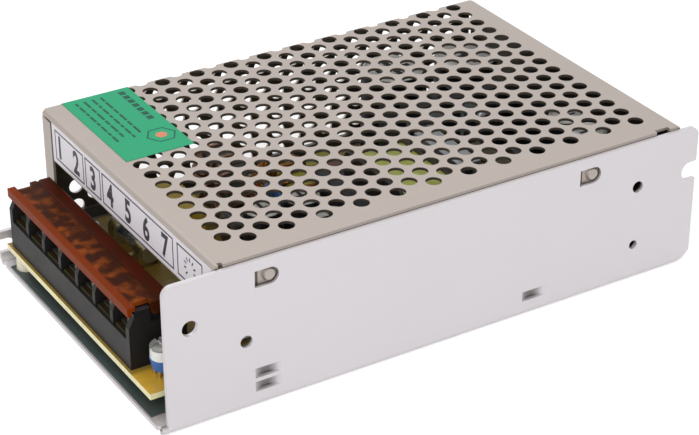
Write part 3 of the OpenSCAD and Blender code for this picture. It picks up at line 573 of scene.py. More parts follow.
@dataclass(frozen=True)
class ShadedSheetFinish(Finish):
    """Finish of a folded sheet whose hidden inner side has painted shade: a darker colour than its outer side.
    """

    # Painted shade: the darker colour that the sheet takes within the boxes
    inner: Colour = (0.2, 0.2, 0.2)
    shaded_boxes: tuple[Box, ...] = ()

    def colour_socket(self, graph: Graph, vector: Socket) -> object:
        """Gives the outer colour, and the darker inner one as painted shade within the boxes that the sheet
        encloses.

        Args:
            graph: The material's graph.
            vector: The coordinate in metres.

        Returns:
            The colour's socket.
        """
        hidden: object = 0.0
        for low, high in self.shaded_boxes:
            mask: object = 1.0
            for index in range(3):
                inside = graph.between(graph.axis(vector, index), low[index], high[index])
                mask = graph.math("MULTIPLY", mask, inside)
            hidden = graph.math("MAXIMUM", hidden, mask)
        return graph.blend(hidden, rgba(self.colour), rgba(self.inner))


@dataclass(frozen=True)
class ShadedLanceFinish(ShadedSheetFinish):
    """Finish of a sheet with pressed lances, which get painted shade that darkens with their depth along Y."""

    shallow: float = 0.0
    deep: float = 0.0
    lance_low: float = 0.0
    lance_high: float = 0.0
    darkest: float = 0.85

    def colour_socket(self, graph: Graph, vector: Socket) -> object:
        """Gives the sheet's colour, with painted shade towards the inner one within the band of the lances.

        Args:
            graph: The material's graph.
            vector: The coordinate in metres.

        Returns:
            The colour's socket.
        """
        sheet = super().colour_socket(graph, vector)
        y = graph.axis(vector, 1)
        band = graph.between(graph.axis(vector, 2), self.lance_low, self.lance_high)
        # Painted shade in the lance pockets, darker with their depth along Y
        near = graph.math("MULTIPLY", band, graph.math("LESS_THAN", y, self.deep * 2 - self.shallow))
        share = graph.math("MULTIPLY", near, graph.ramp(y, self.shallow, self.deep))
        return graph.blend(graph.math("MULTIPLY", share, self.darkest), sheet, rgba(self.inner))


@dataclass(frozen=True)
class FlapFinish(Finish):
    """Clear amber moulding with a painted highlight along its lip and a deep hinge edge.

    What lies under its flat shows as soft patches of painted light, partly the real parts under it and partly
    light coming through it.
    """

    # Painted light of the patches over the flat
    glow: Colour = (0.5, 0.5, 0.5)
    # Painted highlight along the lip
    lip: Colour = (0.5, 0.5, 0.5)
    hinge: Colour = (0.5, 0.5, 0.5)
    lip_end: float = 0.0
    hinge_start: float = 0.0
    lip_fade: float = 0.8 * MM
    hinge_fade: float = 1.2 * MM
    patch_start: float = 1.5 * MM
    patch_scale: float = 240.0
    patch_detail: float = 4.0
    patch_span: tuple[float, float] = (0.44, 0.66)
    faintest_patch: float = 0.25
    streaks: Triple = (900, 120, 900)
    streak_span: tuple[float, float] = (0.3, 0.7)

    def colour_socket(self, graph: Graph, vector: Socket) -> object:
        """Gives patches of painted light over the flat, then the lip's painted highlight and the hinge edge by
        their place along X.

        Args:
            graph: The material's graph.
            vector: The coordinate in metres.

        Returns:
            The colour's socket.
        """
        x = graph.axis(vector, 0)
        fade = graph.ramp(x, self.hinge_start + self.patch_start, self.lip_end)
        # Painted light: bright patches over the flat, strongest towards the lip
        patches = graph.ramp(graph.noise(vector, self.patch_scale, self.patch_detail), *self.patch_span)
        faint = self.faintest_patch
        strength = graph.math("ADD", graph.math("MULTIPLY", fade, 1 - faint), faint)
        flat = graph.blend(graph.math("MULTIPLY", patches, strength), rgba(self.colour), rgba(self.glow))
        streaks = graph.ramp(graph.noise(graph.stretch(vector, self.streaks), 1), *self.streak_span)
        edge = graph.blend(streaks, rgba(self.hinge), rgba(self.colour))
        near_hinge = graph.ramp(x, self.hinge_start, self.hinge_start + self.hinge_fade)
        # Painted highlight along the lip
        near_lip = graph.ramp(x, self.lip_end + self.lip_fade, self.lip_end)
        return graph.blend(near_lip, graph.blend(near_hinge, flat, edge), rgba(self.lip))


class Paintshop:
    """Makes each finish's material once and puts it on pieces."""

    bump_strength = 0.6

    def __init__(self) -> None:
        """Starts with an empty shelf of materials."""
        self.grains = GrainBook()
        self.shelf: dict[str, bpy.types.Material] = {}

    def material(self, finish: Finish) -> bpy.types.Material:
        """Finds or makes a finish's material.

        Args:
            finish: The finish that is wanted.

        Returns:
            The material.
        """
        if finish.name not in self.shelf:
            self.shelf[finish.name] = self._mix(finish)
        return self.shelf[finish.name]

    def _mix(self, finish: Finish) -> bpy.types.Material:
        """Builds the node tree of one finish.

        Args:
            finish: The finish.

        Returns:
            The new material.
        """
        made = bpy.data.materials.new(finish.name)
        made.use_nodes = True
        graph = Graph(made.node_tree)
        shader = made.node_tree.nodes["Principled BSDF"].inputs
        vector = graph.node("ShaderNodeTexCoord").outputs["Object"]
        grain = graph.node("ShaderNodeGroup", node_tree=self.grains.group(finish.grain))
        graph.join(vector, grain.inputs["Vector"])

        shade = self._swing(graph, grain.outputs["Shade"], finish.contrast * 2, 1.0)
        tone = graph.node("ShaderNodeCombineColor")
        for channel in tone.inputs:
            graph.join(shade, channel)
        base = finish.colour_socket(graph, vector)
        graph.join(graph.blend(1.0, base, tone.outputs[0], "MULTIPLY"), shader["Base Color"])
        gloss = self._swing(graph, grain.outputs["Gloss"], finish.gloss_swing, finish.roughness)
        graph.join(gloss, shader["Roughness"])
        graph.feed(shader["Metallic"], finish.metallic_socket(graph, vector))
        shader["Coat Weight"].default_value = finish.coat
        shader["Transmission Weight"].default_value = finish.transmission
        shader["IOR"].default_value = finish.ior

        bump = graph.node("ShaderNodeBump")
        bump.inputs["Strength"].default_value = self.bump_strength
        bump.inputs["Distance"].default_value = finish.relief * MM
        graph.join(grain.outputs["Height"], bump.inputs["Height"])
        graph.join(bump.outputs["Normal"], shader["Normal"])
        made.diffuse_color = rgba(finish.colour)
        return made

    @staticmethod
    def _swing(graph: Graph, value: Socket, width: float, middle: float) -> Socket:
        """Turns a texture's value into one that swings about a middle.

        Args:
            graph: The material's graph.
            value: The texture's value, about even.
            width: How far it swings.
            middle: What an even value becomes.

        Returns:
            The new value.
        """
        swing = graph.math("MULTIPLY", graph.math("SUBTRACT", value, EVEN), width)
        return graph.math("ADD", swing, middle)

    def paint(self, piece: Piece, finish: Finish) -> None:
        """Puts one finish on a whole piece, in place of what it had, and reports the piece.

        Args:
            piece: The mesh object.
            finish: The finish to use.
        """
        piece.data.materials.clear()
        piece.data.materials.append(self.material(finish))
        LOG.info("%s: %s", piece.name, finish.name)

    def paint_nodes(self, finishes: dict[str, Finish]) -> None:
        """Puts finishes on nodes of the solid model.

        Args:
            finishes: The finish for each node's name.
        """
        for node, finish in finishes.items():
            self.paint(frame["nodes"][node], finish)


# --------------------------------------------------------------- mesh helpers


def placed(name: str, data: bpy.types.ID) -> Piece:
    """Makes an object at the origin and links it to the scene.

    Args:
        name: Name of the object.
        data: Its mesh, curve, camera or light.

    Returns:
        The new object.
    """
    made = bpy.data.objects.new(name, data)
    bpy.context.scene.collection.objects.link(made)
    return made


def plain_mesh(mesh: bmesh.types.BMesh, name: str) -> bpy.types.Mesh:
    """Turns a finished bmesh into a mesh and frees it.

    Args:
        mesh: The geometry.
        name: Name of the mesh.

    Returns:
        The new mesh.
    """
    data = bpy.data.meshes.new(name)
    mesh.to_mesh(data)
    mesh.free()
    return data


def new_piece(name: str, mesh: bmesh.types.BMesh, body: str) -> Piece:
    """Turns a finished bmesh into an object that rides on a body.

    Args:
        name: Name of the piece.
        mesh: The geometry, in metres, in the frame's own place. It is freed.
        body: Body that carries the piece.

    Returns:
        The new object.
    """
    bmesh.ops.recalc_face_normals(mesh, faces=mesh.faces)
    piece = placed(name, plain_mesh(mesh, name))
    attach(piece, body)
    return piece


def add_slab(mesh: bmesh.types.BMesh, low: Vector, high: Vector) -> None:
    """Adds a closed box to a mesh.

    Args:
        mesh: The mesh that takes it.
        low: Its lowest corner.
        high: Its highest corner.
    """
    place = Matrix.Translation((low + high) / 2) @ Matrix.Diagonal((*(high - low), 1.0))
    bmesh.ops.create_cube(mesh, size=1.0, matrix=place)


def evaluated_mesh(source: Piece) -> bpy.types.Mesh:
    """Takes the mesh that an object's curve or live modifiers make, and deletes the object.

    Args:
        source: The object.

    Returns:
        The plain mesh.
    """
    graph = bpy.context.evaluated_depsgraph_get()
    data = bpy.data.meshes.new_from_object(source.evaluated_get(graph))
    bpy.data.objects.remove(source)
    return data


def softened_copy(node: str, width: float, body: str) -> Piece:
    """Copies a solid, rounds its edges slightly and lets the copy stand for it.

    Args:
        node: Name of the solid's node.
        width: Width of the rounding, in millimetres.
        body: Body that carries it.

    Returns:
        The rounded copy.
    """
    weld, flat, sharp = 0.002 * MM, math.radians(1), math.radians(40)
    mesh = bmesh.new()
    mesh.from_mesh(frame["nodes"][node].data)
    bmesh.ops.remove_doubles(mesh, verts=mesh.verts, dist=weld)
    bmesh.ops.dissolve_limit(mesh, angle_limit=flat, verts=mesh.verts, edges=mesh.edges)
    source = placed(node + "_source", plain_mesh(mesh, node + "_source"))
    bevel = source.modifiers.new("rounding", "BEVEL")
    bevel.width = width * MM
    bevel.segments = 2
    bevel.limit_method = "ANGLE"
    bevel.angle_limit = sharp
    bevel.harden_normals = False
    data = evaluated_mesh(source)
    data.name = node + "_moulding"
    piece = placed(node + "_moulding", data)
    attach(piece, body)
    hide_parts(node)
    return piece


def slot_of(node: str) -> str:
    """Finds the material slot that the record gives a node.

    Args:
        node: Name of the node.

    Returns:
        Name of the slot.
    """
    for part in frame["record"]["subparts"]:
        if part["node"] == node:
            return part["material_slot"]
    raise KeyError(node)


# -------------------------------------------------------------- sub-assemblies


@dataclass
class Enclosure:
    """The folded chassis and the perforated cover, with the screws that hold them."""

    shop: Paintshop
    skin: float = 0.7
    rim: float = 0.12
    # Sizes of the painted shade line along the near fold, in millimetres
    gap_top: float = 0.8
    gap_depth: float = 3.0
    gap_reach: float = 1.2
    # Places along X and sizes of the painted shade bands at the near-wall windows, in millimetres
    window_shade_bands: tuple[float, ...] = (-53.3, 41.9)
    shade_band_width: float = 0.7
    shade_band_top: float = 3.0
    shade_band_bottom: float = 9.0
    fold_depth: float = 4.0
    # Painted shade of the lance pockets: where it starts and is darkest along Y, and its band along Z, in
    # millimetres
    lance_start: float = 0.3
    lance_depth: float = 1.7
    lance_bottom: float = 1.05
    lance_top: float = 12.0
    board_level: float = 6.0
    screws: Finish = Finish(
        "zinc_plated_screw", srgb(196, 198, 200), 0.3, 0.95, Grain.DRAWN, 0.12, 0.2, 0.004
    )

    def build(self) -> None:
        """Paints the sheets and their screws."""
        self.shop.paint_nodes(
            {"base_chassis": self.chassis(), "mesh_cover": self.cover(), "cover_screws": self.screws}
        )
        LOG.info("enclosure: chassis, cover and screws painted")

    def chassis(self) -> ShadedLanceFinish:
        """Makes the chassis finish, with painted shade above the board, behind the near wall and deep in the
        lances.

        Returns:
            The finish.
        """
        low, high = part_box("base_chassis")
        skin, fold = self.skin * MM, self.fold_depth * MM
        front, back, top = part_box("mesh_cover")[0].x + skin, high.x - fold, high.z - skin
        # Painted shade: boxes over the board and behind the near wall where the sheet takes the darker inner
        # colour
        over_board = Vector((front, low.y + fold, self.board_level * MM)), Vector((back, high.y, top))
        behind_wall = Vector((front, low.y + skin, self.lance_top * MM)), Vector((back, low.y + fold, top))
        return ShadedLanceFinish(
            "folded_chassis_sheet", srgb(201, 197, 200), 0.46, 0.55, Grain.ROLLED, 0.05, 0.12, 0.006,
            # Painted shade colour of the hidden side and the lance pockets
            inner=srgb(96, 92, 88),
            shaded_boxes=(over_board, behind_wall),
            # Painted shade in the lance pockets, darker with their depth along Y
            shallow=low.y + self.lance_start * MM,
            deep=low.y + self.lance_depth * MM,
            lance_low=low.z + self.lance_bottom * MM,
            lance_high=self.lance_top * MM,
        )

    def cover(self) -> ShadedSheetFinish:
        """Makes the cover finish, with painted shade under the top, behind the perforated wall, along the near
        fold and in a thin band at one edge of each near-wall window.

        Returns:
            The finish.
        """
        low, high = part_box("mesh_cover")
        skin, reach = self.skin * MM, low.y + self.gap_reach * MM
        # Painted shade under the top, down to just below the holes' rims
        inside = (
            Vector((low.x + skin, low.y + self.fold_depth * MM, low.z - skin)),
            Vector((high.x - skin, high.y - skin, high.z - self.rim * MM)),
        )
        # Painted shade: a thin dark line along the near fold, where the cover meets the wall
        gap = (
            Vector((low.x - skin, low.y - skin, high.z - self.gap_depth * MM)),
            Vector((high.x + skin, reach, high.z - self.gap_top * MM)),
        )
        # Painted shade: a thin band at one edge of each near-wall window
        window_shade_bands = [
            (
                Vector((place * MM, low.y - skin, high.z - self.shade_band_bottom * MM)),
                Vector(((place + self.shade_band_width) * MM, reach, high.z - self.shade_band_top * MM)),
            )
            for place in self.window_shade_bands
        ]
        return ShadedSheetFinish(
            "perforated_cover_sheet", srgb(169, 159, 152), 0.42, 0.6, Grain.ROLLED, 0.1, 0.14, 0.008,
            # Painted shade colour of the hidden side, the fold line and the window bands
            inner=srgb(88, 80, 72),
            shaded_boxes=(inside, gap, *window_shade_bands),
        )


@dataclass(frozen=True)
class StickerLayout:
    """Where the print stands on the sticker.

    Lengths along the heading and the lines are shares of the sticker's length, those across them are shares
    of its width, and the hexagon's radii are in millimetres.
    """

    heading_blocks: int = 7
    heading_start: float = 0.46
    heading_step: float = 0.07
    heading_block: float = 0.05
    heading_low: float = 0.8
    heading_high: float = 0.89
    rows: int = 4
    row_low: float = 0.14
    row_step: float = 0.125
    row_height: float = 0.035
    row_start: float = 0.92
    row_end: float = 0.2
    row_end_swing: float = 0.05
    dashes: int = 8
    dash_kinds: int = 4
    shortest_dash: float = 0.045
    dash_step: float = 0.02
    dash_gap: float = 0.018
    symbol: tuple[float, float] = (0.74, 0.22)
    symbol_outer: float = 4.2
    symbol_inner: float = 3.75
    spot: float = 1.7


@dataclass
class PrintedLabels:
    """The strip with the terminal numbers on the front lip, and the film on the top.

    Each cell is a pole and how many half pitches its edge stands past it, for one edge and then the other.
    """

    shop: Paintshop
    poles: int = 7
    pitch: float = 10.0
    end_wall: float = 0.5
    line: float = 0.45
    raise_by: float = 0.02
    cell_foot: float = 1.1
    cell_head: float = 1.0
    cells: tuple[tuple[int, float, int, float], ...] = (
        (0, 0.55, 1, -0.9), (1, -1.1, 2, -0.9), (2, -1.1, 6, -0.9), (6, -1.3, 6, -3.9),
    )
    ticks: int = 9
    tick_sweep: float = 270.0
    tick_inner: float = 1.9
    tick_outer: float = 3.1
    digit_height: float = 6.8
    digit_width: float = 0.8
    digit_weight: float = 0.03
    sticker: StickerLayout = StickerLayout()
    film: Finish = Finish("white_label_film", srgb(226, 222, 228), 0.45, 0, Grain.PRINTED, 0.02, 0.1, 0.004)
    ink: Finish = Finish("black_print_ink", srgb(38, 36, 44), 0.5, 0, Grain.PRINTED, 0.15, 0.1, 0.002)
    green: Finish = Finish(
        "green_sticker_film", srgb(32, 158, 112), 0.5, 0, Grain.PRINTED, 0.06, 0.1, 0.012, ior=1.3
    )
    dark_green: Finish = Finish(
        "dark_green_print", srgb(14, 78, 62), 0.5, 0, Grain.PRINTED, 0.1, 0.1, 0.002, ior=1.3
    )
    coral: Finish = Finish("coral_print", srgb(206, 122, 88), 0.45, 0, Grain.PRINTED, 0.1, 0.1, 0.002)

    def build(self) -> None:
        """Paints both films and adds their print."""
        self.shop.paint_nodes({"label_strip": self.film, "top_sticker": self.green})
        self._strip_print()
        self._sticker_print()
        LOG.info("labels: strip with numbers and plain sticker done")

    def _strip_print(self) -> None:
        """Prints outlined cells, a dial scale and the terminal numbers on the front strip."""
        low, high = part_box("label_strip")
        half = self.pitch / 2 * MM
        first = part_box("terminal_block")[1].y - self.end_wall * MM - half
        pole = [first - k * self.pitch * MM for k in range(self.poles)]
        bottom, top = low.z + self.cell_foot * MM, high.z - self.cell_head * MM
        middle = (bottom + top) / 2
        lines = bmesh.new()
        for start, before, end, after in self.cells:
            left, right = pole[start] + half * before, pole[end] + half * after
            self._outline(lines, low.x, (right, left), (bottom, top))
        # The last cell holds the trimmer's scale
        self._dial_scale(lines, Vector((low.x, (left + right) / 2, middle)))
        self._finish_print(new_piece("label_cell_lines", lines, "root"), self.ink)
        for index, y in enumerate(pole):
            self._digit(str(index + 1), Vector((low.x, y, middle)))

    def _outline(
        self, mesh: bmesh.types.BMesh, x: float, along: tuple[float, float], up: tuple[float, float]
    ) -> None:
        """Adds the four lines of one cell to a mesh.

        Args:
            mesh: The mesh that takes them.
            x: Place of the strip's surface.
            along: Lowest and highest place along Y.
            up: Lowest and highest place along Z.
        """
        line = self.line * MM
        (right, left), (low, high) = along, up
        bars = [
            (right, left, low, low + line),
            (right, left, high - line, high),
            (right, right + line, low + line, high - line),
            (left - line, left, low + line, high - line),
        ]
        for y0, y1, z0, z1 in bars:
            add_slab(mesh, Vector((x - self.raise_by * MM, y0, z0)), Vector((x, y1, z1)))

    def _dial_scale(self, mesh: bmesh.types.BMesh, centre: Vector) -> None:
        """Adds a three-quarter ring of tick marks to a mesh.

        Args:
            mesh: The mesh that takes them.
            centre: Middle of the ring, on the strip's surface.
        """
        sweep, thick = math.radians(self.tick_sweep), self.raise_by * MM
        inner, outer = self.tick_inner * MM, self.tick_outer * MM
        for step in range(self.ticks):
            angle = -sweep / 2 + sweep * step / (self.ticks - 1)
            turn = Matrix.Translation(centre - Vector((thick / 2, 0, 0))) @ Matrix.Rotation(angle, 4, "X")
            place = turn @ Matrix.Translation((0, 0, (inner + outer) / 2))
            size = Matrix.Diagonal((thick, self.line * MM, outer - inner, 1.0))
            bmesh.ops.create_cube(mesh, size=1.0, matrix=place @ size)

    def _digit(self, text: str, centre: Vector) -> None:
        """Adds one printed number.

        Args:
            text: The number.
            centre: Its middle, on the strip's surface.
        """
        half_depth, thick = 0.001, self.raise_by * MM
        curve = bpy.data.curves.new("number_" + text, "FONT")
        curve.body = text
        curve.align_x = "CENTER"
        curve.extrude = half_depth
        curve.offset = self.digit_weight
        data = evaluated_mesh(placed("number_source", curve))
        heights = [vertex.co.y for vertex in data.vertices]
        scale = self.digit_height * MM / (max(heights) - min(heights))
        middle = (max(heights) + min(heights)) / 2
        # The number is drawn along X and Y, and reads along -Y and Z on the strip
        turn = Matrix(((0, 0, -1, 0), (-1, 0, 0, 0), (0, 1, 0, 0), (0, 0, 0, 1)))
        flatten = Matrix.Diagonal((scale * self.digit_width, scale, thick / (2 * half_depth), 1.0))
        place = Matrix.Translation(centre - Vector((thick, 0, 0)))
        data.transform(place @ turn @ flatten @ Matrix.Translation((0, -middle, 0)))
        piece = placed("terminal_number_" + text, data)
        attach(piece, "root")
        self._finish_print(piece, self.ink)

    def _sticker_print(self) -> None:
        """Prints blank heading blocks, broken lines and a plain hexagon on the green film, with no words."""
        low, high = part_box("top_sticker")
        width, length = high.x - low.x, high.y - low.y
        plan = self.sticker
        mesh = bmesh.new()

        def bar(x0: float, y0: float, x1: float, y1: float) -> None:
            """Adds one printed bar.

            Args:
                x0: Lowest share of the width.
                y0: Lowest share of the length.
                x1: Highest share of the width.
                y1: Highest share of the length.
            """
            add_slab(
                mesh,
                Vector((low.x + width * x0, low.y + length * y0, high.z)),
                Vector((low.x + width * x1, low.y + length * y1, high.z + self.raise_by * MM)),
            )

        for block in range(plan.heading_blocks):
            start = plan.heading_start + block * plan.heading_step
            bar(plan.heading_low, start, plan.heading_high, start + plan.heading_block)
        for row in range(plan.rows):
            place, start = plan.row_low + row * plan.row_step, plan.row_start
            end = plan.row_end + plan.row_end_swing * (row % 2)
            for dash in range(plan.dashes):
                # The lengths change from row to row and along each row
                dash_length = plan.shortest_dash + plan.dash_step * ((row * 3 + dash * 2) % plan.dash_kinds)
                if start - dash_length > end:
                    bar(place, start - dash_length, place + plan.row_height, start)
                start -= dash_length + plan.dash_gap
        across, along = plan.symbol
        centre = Vector((low.x + width * across, low.y + length * along, high.z))
        self._hexagon(mesh, centre, plan.symbol_outer * MM, plan.symbol_inner * MM)
        self._finish_print(new_piece("sticker_print", mesh, "root"), self.dark_green)
        spot = bmesh.new()
        self._hexagon(spot, centre, plan.spot * MM)
        self._finish_print(new_piece("sticker_spot", spot, "root"), self.coral)

    def _hexagon(self, mesh: bmesh.types.BMesh, centre: Vector, *radii: float) -> None:
        """Adds a flat printed hexagon to a mesh, open in the middle where it has an inner radius.

        Args:
            mesh: The mesh that takes it.
            centre: Its middle, on the film's surface.
            radii: Radius to its outer corners, and to its inner ones where it is open.
        """
        sides = 6
        lift = Vector((0, 0, self.raise_by * MM))
        turns = [math.tau * k / sides for k in range(sides)]
        rings = []
        for radius in radii:
            points = [centre + Vector((math.cos(a) * radius, math.sin(a) * radius, 0)) for a in turns]
            rings.append([[mesh.verts.new(p + rise) for p in points] for rise in (Vector(), lift)])
        if len(rings) == 1:
            for level in rings[0]:
                mesh.faces.new(level)
        for k in range(sides):
            n = (k + 1) % sides
            for low, high in rings:
                mesh.faces.new((low[k], low[n], high[n], high[k]))
            if len(rings) == 2:
                for outer, inner in zip(*rings):
                    mesh.faces.new((outer[k], outer[n], inner[n], inner[k]))

    def _finish_print(self, piece: Piece, finish: Finish) -> None:
        """Paints a printed piece."""
        self.shop.paint(piece, finish)


@dataclass
class TerminalBlock:
    """Moulded block, its brass work and the amber flap over it."""

    shop: Paintshop
    block_rounding: float = 0.22
    flap_rounding: float = 0.18
    lip_depth: float = 1.6
    hinge_depth: float = 4.6
    body: Finish = Finish(
        "black_block_moulding", srgb(24, 22, 22), 0.5, 0, Grain.MOULDED, 0.2, 0.15, 0.01, ior=1.33
    )
    # Painted shade: the contacts are darkened to the shade of the block's bays
    brass: Finish = Finish("shaded_tinned_contact", srgb(88, 76, 50), 0.42, 0.9, Grain.DRAWN, 0.15, 0.2, 0.004)
    steel: Finish = Finish(
        "terminal_screw_plating", srgb(122, 118, 108), 0.4, 0.9, Grain.DRAWN, 0.15, 0.2, 0.004
    )

    def build(self) -> None:
        """Rounds and paints the block and its flap, and paints the metal in it."""
        self.shop.paint(softened_copy("terminal_block", self.block_rounding, "root"), self.body)
        self.shop.paint(softened_copy("terminal_flap", self.flap_rounding, "flap"), self.amber())
        self.shop.paint_nodes(
            {
                "terminal_contacts": self.brass,
                "terminal_washers": self.steel,
                "terminal_screws": self.steel,
            }
        )
        LOG.info("terminal block: block, flap and metal done")

    def amber(self) -> FlapFinish:
        """Makes the flap's finish, with its lip and hinge edge placed from the flap's own size.

        Returns:
            The finish.
        """
        low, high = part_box("terminal_flap")
        return FlapFinish(
            "amber_flap_plastic", srgb(66, 31, 14), 0.3, 0, Grain.MOULDED, 0.12, 0.1, 0.01,
            transmission=0.3,
            ior=1.1,
            # Painted light of the flap's patches
            glow=srgb(164, 80, 26),
            # Painted highlight along the lip
            lip=srgb(142, 58, 14),
            hinge=srgb(88, 24, 9),
            lip_end=low.x + self.lip_depth * MM,
            hinge_start=high.x - self.hinge_depth * MM,
        )


@dataclass
class BoardAndControls:
    """Circuit board with its seats, the trimmer, the indicator and the sheet under it."""

    shop: Paintshop
    # Where the board's painted shade starts from its low corner, in millimetres
    shade_start: float = 7.4
    shade_side: float = 9.0
    trimmer_pins: float = 2.0
    rotor_top: float = 1.2
    slate: Finish = Finish(
        "slate_insulating_sheet", srgb(62, 74, 74), 0.5, 0, Grain.PRINTED, 0.15, 0.2, 0.01
    )
    nylon: Finish = Finish(
        "ivory_nylon_support", srgb(232, 226, 205), 0.5, 0, Grain.MOULDED, 0.05, 0.1, 0.01
    )
    post: Finish = Finish(
        "nickel_plated_post", srgb(200, 202, 204), 0.3, 0.95, Grain.DRAWN, 0.1, 0.2, 0.004
    )
    lens: Finish = Finish(
        "green_indicator_lens", srgb(96, 200, 110), 0.15, 0, Grain.MOULDED, 0.05, 0.05, 0.002, 0.2, 0.5
    )

    def build(self) -> None:
        """Paints the board, its seats and the controls."""
        low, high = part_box("circuit_board")
        laminate = EdgedFinish(
            "circuit_board_laminate", srgb(206, 162, 50), 0.42, 0, Grain.LAMINATE, 0.18, 0.2, 0.03, 0.2,
            # Painted shade: the darker face colour inside the case
            edge=srgb(236, 228, 178), shaded_face=srgb(142, 116, 44),
            shade_from=low.x + self.shade_start * MM, shade_beside=low.y + self.shade_side * MM,
        )
        case = TwoToneFinish(
            "blue_trimmer_case", srgb(196, 178, 120), 0.32, 0.85, Grain.MOULDED, 0.1, 0.1, 0.008, 0.3,
            upper=srgb(40, 104, 180), height=high.z + self.trimmer_pins * MM,
        )
        rotor = TwoToneFinish(
            "white_trimmer_rotor", srgb(228, 228, 224), 0.4, 0, Grain.MOULDED, 0.3, 0.1, 0.03,
            upper=srgb(132, 134, 128), height=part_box("trimmer_knob")[1].z - self.rotor_top * MM,
        )
        self.shop.paint_nodes(
            {
                "circuit_board": laminate,
                "insulating_sheet": self.slate,
                "board_supports": self.nylon,
                "board_posts": self.post,
                "board_screws": self.post,
                "trimmer_body": case,
                "trimmer_knob": rotor,
                "indicator_led": self.lens,
            }
        )
        LOG.info("board: laminate, seats, trimmer and indicator painted")


